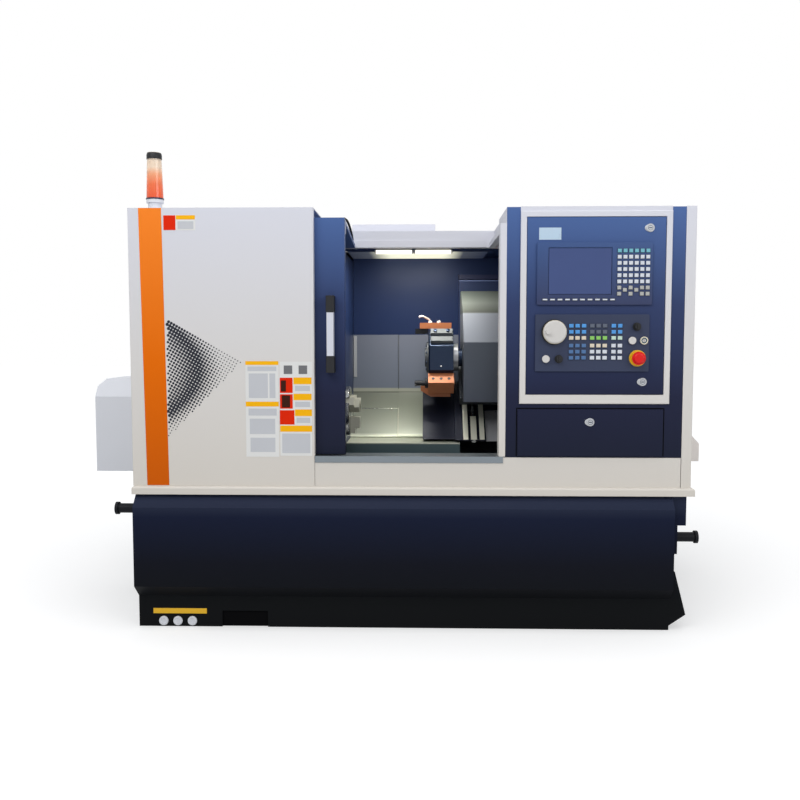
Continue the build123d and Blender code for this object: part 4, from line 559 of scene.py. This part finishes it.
for column in range(SOFT_KEYS):
    along = SOFT_KEY_PITCH * (column - (SOFT_KEYS - 1) / 2)
    cap("white", SOFT_KEY_MIDDLE[0] + along, SOFT_KEY_MIDDLE[1], SOFT_CAP, UNIT_KEYS)
for row in range(KEYPAD_ROWS):
    for column in range(KEYPAD_COLUMNS):
        colour = "teal" if row == 0 else "white" if row < KEYPAD_WHOLE_ROWS else "grey"
        if row < KEYPAD_WHOLE_ROWS or column not in LONE_COLUMNS:
            cap(colour, KEYPAD_CORNER[0] + KEYPAD_PITCH[0] * column, KEYPAD_CORNER[1] - KEYPAD_PITCH[1] * row,
                KEYPAD_CAP, UNIT_KEYS)
for column in LONE_COLUMNS:
    cap("grey", KEYPAD_CORNER[0] + KEYPAD_PITCH[0] * column, KEYPAD_CORNER[1] - LONE_DROP, KEYPAD_CAP, UNIT_KEYS)
for middle, columns, rows in KEY_GROUPS:
    for row, colour in enumerate(rows):
        band_z = ROW_BANDS[row // 3]
        for column in range(columns):
            cap(colour, middle + GROUP_PITCH[0] * (column - (columns - 1) / 2),
                band_z + GROUP_PITCH[1] * (1 - row % 3), GROUP_CAP, PANEL_KEYS)
for colour, boxes in caps.items():
    blocks(f"key_caps_{colour}", boxes, KEY_COLOURS[colour], "control_door", "key_plastic", inset=1.2)

# Operator panel: rings of the handwheel, of the emergency stop and of the key switch
HANDWHEEL, STOP, SWITCH = (532, 1130), (838, 1034), (861, 1099)
PANEL_FACE, PANEL_SKIN, COLLAR_SKIN, HEAD_SKIN, SWITCH_FACE = -12, -12.05, -18.05, -34.05, -20


def facing(place, depth):
    """The middle of a control, at a depth."""
    return front_point(place[0], depth, place[1])


ring("dial_ring", facing(HANDWHEEL, PANEL_SKIN), TO_OPERATOR, 0.030, 0.047, 0, 0.0012, BLACK, "control_door",
     "black_plastic")
CHAMPAGNE = surface("champagne_rim", rgb(206, 198, 178), rough=0.22, metal=0.8, bump=0.03)
ring("handwheel_rim", facing(HANDWHEEL, PANEL_FACE), TO_OPERATOR, 0.0421, 0.0436, 0.009, 0.020, CHAMPAGNE,
     "handwheel")
ring("stop_collar", facing(STOP, PANEL_SKIN), TO_OPERATOR, 0.0292, 0.0302, 0, 0.0064, YELLOW, "control_door")
ring("stop_collar_face", facing(STOP, COLLAR_SKIN), TO_OPERATOR, 0.0115, 0.0302, 0, 0.0010, YELLOW, "control_door")
ring("stop_head", facing(STOP, HEAD_SKIN), TO_OPERATOR, 0.0201, 0.0246, 0, 0.008, RED, "estop")
ring("switch_rim", facing(SWITCH, SWITCH_FACE), TO_OPERATOR, 0.0105, 0.0145, 0.00005, 0.0012, CHAMPAGNE, "key_switch")
TEAL = surface("switch_teal", rgb(30, 70, 86), rough=0.35, bump=0.04)
ring("switch_face", facing(SWITCH, SWITCH_FACE), TO_OPERATOR, 0.0066, 0.0104, 0.00005, 0.0008, TEAL, "key_switch")

# Drop-shaped plates round the three locks, with the key slot and groove on each plug
LOCKS = (("upper", (879, 1510), "control_door"), ("lower", (861, 946), "control_door"), ("flap", (671, 796), "flap"))
PLATE_STEPS = 48
PLATE_INNER, PLATE_OUTER, PLATE_TIP = 14.4, 15.6, 5.0
TIP_SHARPNESS = 6
PLATE_CREST, PLATE_SHOULDER, PLATE_SKIN = -9.0, -7.6, -6.05
PLUG_SKIN = -10.05
KEY_SLOT = (5.5, 1.6, -10.4)
for name, (x, z), body in LOCKS:
    outer, inner = [], []
    for step in range(PLATE_STEPS):
        angle = 2 * math.pi * step / PLATE_STEPS
        reach = PLATE_OUTER + PLATE_TIP * max(0.0, -math.cos(angle)) ** TIP_SHARPNESS
        outer.append((x + reach * math.cos(angle), z + reach * math.sin(angle)))
        inner.append((x + PLATE_INNER * math.cos(angle), z + PLATE_INNER * math.sin(angle)))
    loops = ((inner, PLATE_CREST), (outer, PLATE_SHOULDER), (outer, PLATE_SKIN), (inner, PLATE_SKIN))
    verts = [front_point(px, depth, pz) for loop, depth in loops for px, pz in loop]
    faces = []
    for layer in range(len(loops)):
        low, high = layer * PLATE_STEPS, (layer + 1) % len(loops) * PLATE_STEPS
        for step in range(PLATE_STEPS):
            after = (step + 1) % PLATE_STEPS
            faces.append((low + step, low + after, high + after, high + step))
    add(f"{name}_lock_plate", verts, faces, LOCK, body, "lock_chrome")
    blocks(f"{name}_lock_slot", [((x - KEY_SLOT[0], x + KEY_SLOT[0]), (KEY_SLOT[2], PLUG_SKIN),
                                  (z - KEY_SLOT[1], z + KEY_SLOT[1]))], DARK_STEEL, f"{name}_lock")
    ring(f"{name}_lock_groove", front_point(x, PLUG_SKIN, z), TO_OPERATOR, 0.0078, 0.0092, 0, 0.0003, DARK_STEEL,
         f"{name}_lock")

# Turret: hub, clamp bars, socket screws, boring-bar collar, coolant hose and spray nipple
TURRET = (0.075, 0.006274, 1.021274)
FLAT = 0.1301
TO_SPINDLE, FROM_SPINDLE = (-1, 0, 0), (1, 0, 0)
turned("turret_hub", TURRET, TO_SPINDLE,
       [(0.0001, 0.070), (0.006, 0.070), (0.008, 0.068), (0.008, 0.045), (0.014, 0.043), (0.016, 0.040)],
       CLAMP, "turret", "machined_steel")


def outward(angle):
    """Directions away from the turret's axis and across it, at an angle from the top towards the operator."""
    turn = math.radians(angle)
    return Vector((0, -math.sin(turn), math.cos(turn))), Vector((0, math.cos(turn), math.sin(turn)))


def along_axis(distance):
    return Vector((distance, 0, 0))


HUB_SCREWS = 8
HUB_SCREW_CIRCLE, HUB_FACE = 0.058, 0.0669
for number in range(HUB_SCREWS):
    out, across = outward(360 * (number + 0.5) / HUB_SCREWS)
    turned(f"hub_screw_{number + 1}", (HUB_FACE, *(Vector(TURRET) + out * HUB_SCREW_CIRCLE)[1:]), TO_SPINDLE,
           [(0, 0.006), (0.004, 0.006), (0.004, 0.0033), (0.002, 0.003)], DARK_STEEL, "turret", count=16)

CLAMP_STATIONS = (45, 225, 315)
CLAMP_SPANS = ((-0.040, -0.006), (0.008, 0.042))
CLAMP_ENDS = (0.007, 0.109)
CLAMP_HEIGHT, CLAMP_TOP, CLAMP_BEVEL = 0.014, 0.0141, 0.003
CLAMP_SCREWS, CLAMP_SCREW_SIDE = (0.030, 0.086), 0.025
CLAMP_FACES = [(3, 2, 1, 0), (4, 5, 6, 7), (0, 1, 5, 4), (1, 2, 6, 5), (2, 3, 7, 6), (3, 0, 4, 7)]
for number, angle in enumerate(CLAMP_STATIONS):
    out, across = outward(angle)
    foot = Vector(TURRET) + out * FLAT
    bars = []
    for low, high in CLAMP_SPANS:
        corners = []
        for lift, inset in ((0.0, 0.0), (CLAMP_HEIGHT, CLAMP_BEVEL)):
            near_x, far_x = CLAMP_ENDS[0] + inset, CLAMP_ENDS[1] - inset
            near_side, far_side = low + inset, high - inset
            for x, side in ((near_x, near_side), (far_x, near_side), (far_x, far_side), (near_x, far_side)):
                corners.append(tuple(foot + out * lift + across * side + along_axis(x)))
        bars.append((corners, CLAMP_FACES))
    add(f"clamp_bars_{number + 1}", *join(bars), CLAMP, "turret", "machined_steel")
    for place in CLAMP_SCREWS:
        seat = foot + out * CLAMP_TOP + across * CLAMP_SCREW_SIDE + along_axis(place)
        turned(f"clamp_screw_{number + 1}_{int(place * 1000)}", tuple(seat), tuple(out),
               [(0, 0.008), (0.006, 0.008), (0.006, 0.0045), (0.003, 0.004)], DARK_STEEL, "turret", count=18)

FLAT_PIN = (0.055, -0.036)
turned("flat_pin", tuple(Vector(TURRET) + Vector((FLAT_PIN[0], -FLAT, FLAT_PIN[1]))), TO_OPERATOR,
       [(0, 0.004), (0.001, 0.0035)], CHROME, "turret", count=16)
ring("flange_ring", (0.185, TURRET[1], TURRET[2]), FROM_SPINDLE, 0.0621, 0.0632, 0.0008, 0.0232, LOCK, "turret")

HOLDER_STATION = 135
HOLDER_SCREWS = (0.020, 0.055, 0.090)
HOLDER_SCREW_RADIUS, HOLDER_HALF = 0.163, 0.0351
BAR_RADIUS = 0.160
out, across = outward(HOLDER_STATION)
for number, x in enumerate(HOLDER_SCREWS):
    for side, letter in ((-1, "a"), (1, "b")):
        seat = Vector(TURRET) + out * HOLDER_SCREW_RADIUS + across * (HOLDER_HALF * side) + along_axis(x)
        turned(f"holder_screw_{number + 1}_{letter}", tuple(seat), tuple(across * side),
               [(0, 0.007), (0.001, 0.007), (0.001, 0.004), (0.0006, 0.0035)], BLACKED, "turret", count=16)
ring("bar_collar", tuple(Vector(TURRET) + out * BAR_RADIUS), TO_SPINDLE, 0.0105, 0.021, 0.0021, 0.016,
     BLACKED, "turret", "tool_steel")

BLOCK_TOP = Vector(TURRET) + Vector((0, 0, 0.1561))
HOSE = ((0.008, 0.005, 0.001), (0.004, 0.002, 0.012), (-0.010, -0.004, 0.022), (-0.030, -0.010, 0.030),
        (-0.044, -0.016, 0.026))
HOSE_RADIUS = 0.0045
tube("coolant_hose", [tuple(BLOCK_TOP + Vector(point)) for point in HOSE], HOSE_RADIUS, CREAM, "turret")
for name, along in (("nozzle_foot", 0.008), ("spray_nipple", 0.047)):
    turned(name, tuple(BLOCK_TOP + Vector((along, 0.005, 0.0002))), (0, 0, 1),
           [(0, 0.009), (0.006, 0.009), (0.010, 0.006)], CREAM, "turret", count=24)

# Floor, light and camera
FLOOR_HALF = 30.0
FLOOR_DROP = 0.001
FLOOR_GREY = (0.6, 0.6, 0.6, 1)
GLOW_REACH = (1.0, 4.0)
GLOW_RANGE = (0.46, 0.76)
SKY_COLOUR, SKY_STRENGTH = (0.93, 0.96, 1.0, 1), 0.46
floor_mesh = bpy.data.meshes.new("floor")
floor_mesh.from_pydata([(-FLOOR_HALF, -FLOOR_HALF, 0), (FLOOR_HALF, -FLOOR_HALF, 0), (FLOOR_HALF, FLOOR_HALF, 0),
                        (-FLOOR_HALF, FLOOR_HALF, 0)], [], [(0, 1, 2, 3)])
floor = bpy.data.objects.new("floor", floor_mesh)
floor.location.z = -FLOOR_DROP
bpy.context.scene.collection.objects.link(floor)
floor_mat = bpy.data.materials.new("floor_white")
floor_mat.use_nodes = True
floor_nodes, floor_links = floor_mat.node_tree.nodes, floor_mat.node_tree.links
floor_shader = floor_nodes["Principled BSDF"]
floor_shader.inputs["Base Color"].default_value = FLOOR_GREY
floor_shader.inputs["Roughness"].default_value = 0.9
floor_shader.inputs["Specular IOR Level"].default_value = 0.0
floor_shader.inputs["Emission Color"].default_value = (1, 1, 1, 1)


def seen(nodes, links):
    """One for camera, glossy and transmission rays, nought for the rest."""
    path = nodes.new("ShaderNodeLightPath")
    first = nodes.new("ShaderNodeMath")
    first.operation = "MAXIMUM"
    links.new(path.outputs["Is Camera Ray"], first.inputs[0])
    links.new(path.outputs["Is Glossy Ray"], first.inputs[1])
    second = nodes.new("ShaderNodeMath")
    second.operation = "MAXIMUM"
    links.new(first.outputs["Value"], second.inputs[0])
    links.new(path.outputs["Is Transmission Ray"], second.inputs[1])
    return second.outputs["Value"]


floor_glow = floor_nodes.new("ShaderNodeMath")
floor_glow.operation = "MULTIPLY"
near = floor_nodes.new("ShaderNodeVectorMath")
near.operation = "LENGTH"
floor_links.new(floor_nodes.new("ShaderNodeTexCoord").outputs["Object"], near.inputs[0])
fade = floor_nodes.new("ShaderNodeMapRange")
fade.inputs["From Min"].default_value, fade.inputs["From Max"].default_value = GLOW_REACH
fade.inputs["To Min"].default_value, fade.inputs["To Max"].default_value = GLOW_RANGE
floor_links.new(near.outputs["Value"], fade.inputs["Value"])
floor_links.new(fade.outputs["Result"], floor_glow.inputs[1])
floor_links.new(seen(floor_nodes, floor_links), floor_glow.inputs[0])
floor_links.new(floor_glow.outputs["Value"], floor_shader.inputs["Emission Strength"])
floor_mesh.materials.append(floor_mat)

world = bpy.data.worlds.new("studio")
bpy.context.scene.world = world
world.use_nodes = True
world_nodes, world_links = world.node_tree.nodes, world.node_tree.links
sky = world_nodes["Background"]
sky.inputs["Color"].default_value = SKY_COLOUR
sky.inputs["Strength"].default_value = SKY_STRENGTH
bright = world_nodes.new("ShaderNodeBackground")
bright.inputs["Color"].default_value = (1, 1, 1, 1)
bright.inputs["Strength"].default_value = 1.0
choose = world_nodes.new("ShaderNodeMixShader")
world_links.new(seen(world_nodes, world_links), choose.inputs["Fac"])
world_links.new(sky.outputs["Background"], choose.inputs[1])
world_links.new(bright.outputs["Background"], choose.inputs[2])
world_links.new(choose.outputs["Shader"], world_nodes["World Output"].inputs["Surface"])


def area_light(name, place, target, width, height, power, colour=(1, 1, 1)):
    """A rectangular lamp that looks at a target."""
    data = bpy.data.lights.new(name, "AREA")
    data.shape = "RECTANGLE"
    data.size, data.size_y = width, height
    data.energy = power
    data.color = colour
    lamp = bpy.data.objects.new(name, data)
    lamp.location = place
    lamp.rotation_euler = (Vector(target) - Vector(place)).to_track_quat("-Z", "Y").to_euler()
    bpy.context.scene.collection.objects.link(lamp)


area_light("key", (-1.6, -4.2, 4.2), (0, -0.4, 1.0), 4.0, 2.4, 105)
area_light("fill", (3.2, -4.0, 2.6), (0.2, -0.4, 1.0), 3.0, 2.4, 52)
area_light("top", (0, -0.6, 4.6), (0, -0.3, 0.8), 4.0, 3.0, 70)
area_light("inside", (0.02, FRONT + 0.60, 1.46), (0.02, FRONT + 0.72, 0.7), 0.34, 0.03, 4, (1.0, 0.97, 0.86))

SENSOR = 36.0
FOCAL_SHARE = 863 / 800
CAMERA_DISTANCE = 3.218
CAMERA_DIP, CAMERA_TURN = 4.05, 1.42
camera_data = bpy.data.cameras.new("camera")
camera_data.sensor_width = SENSOR
camera_data.lens = FOCAL_SHARE * SENSOR
camera = bpy.data.objects.new("camera", camera_data)
camera.location = (0.0431, FRONT - CAMERA_DISTANCE, 1.1051)
camera.rotation_euler = (math.radians(90 - CAMERA_DIP), 0, math.radians(CAMERA_TURN))
bpy.context.scene.collection.objects.link(camera)
bpy.context.scene.camera = camera
bpy.context.scene.view_settings.view_transform = "Standard"
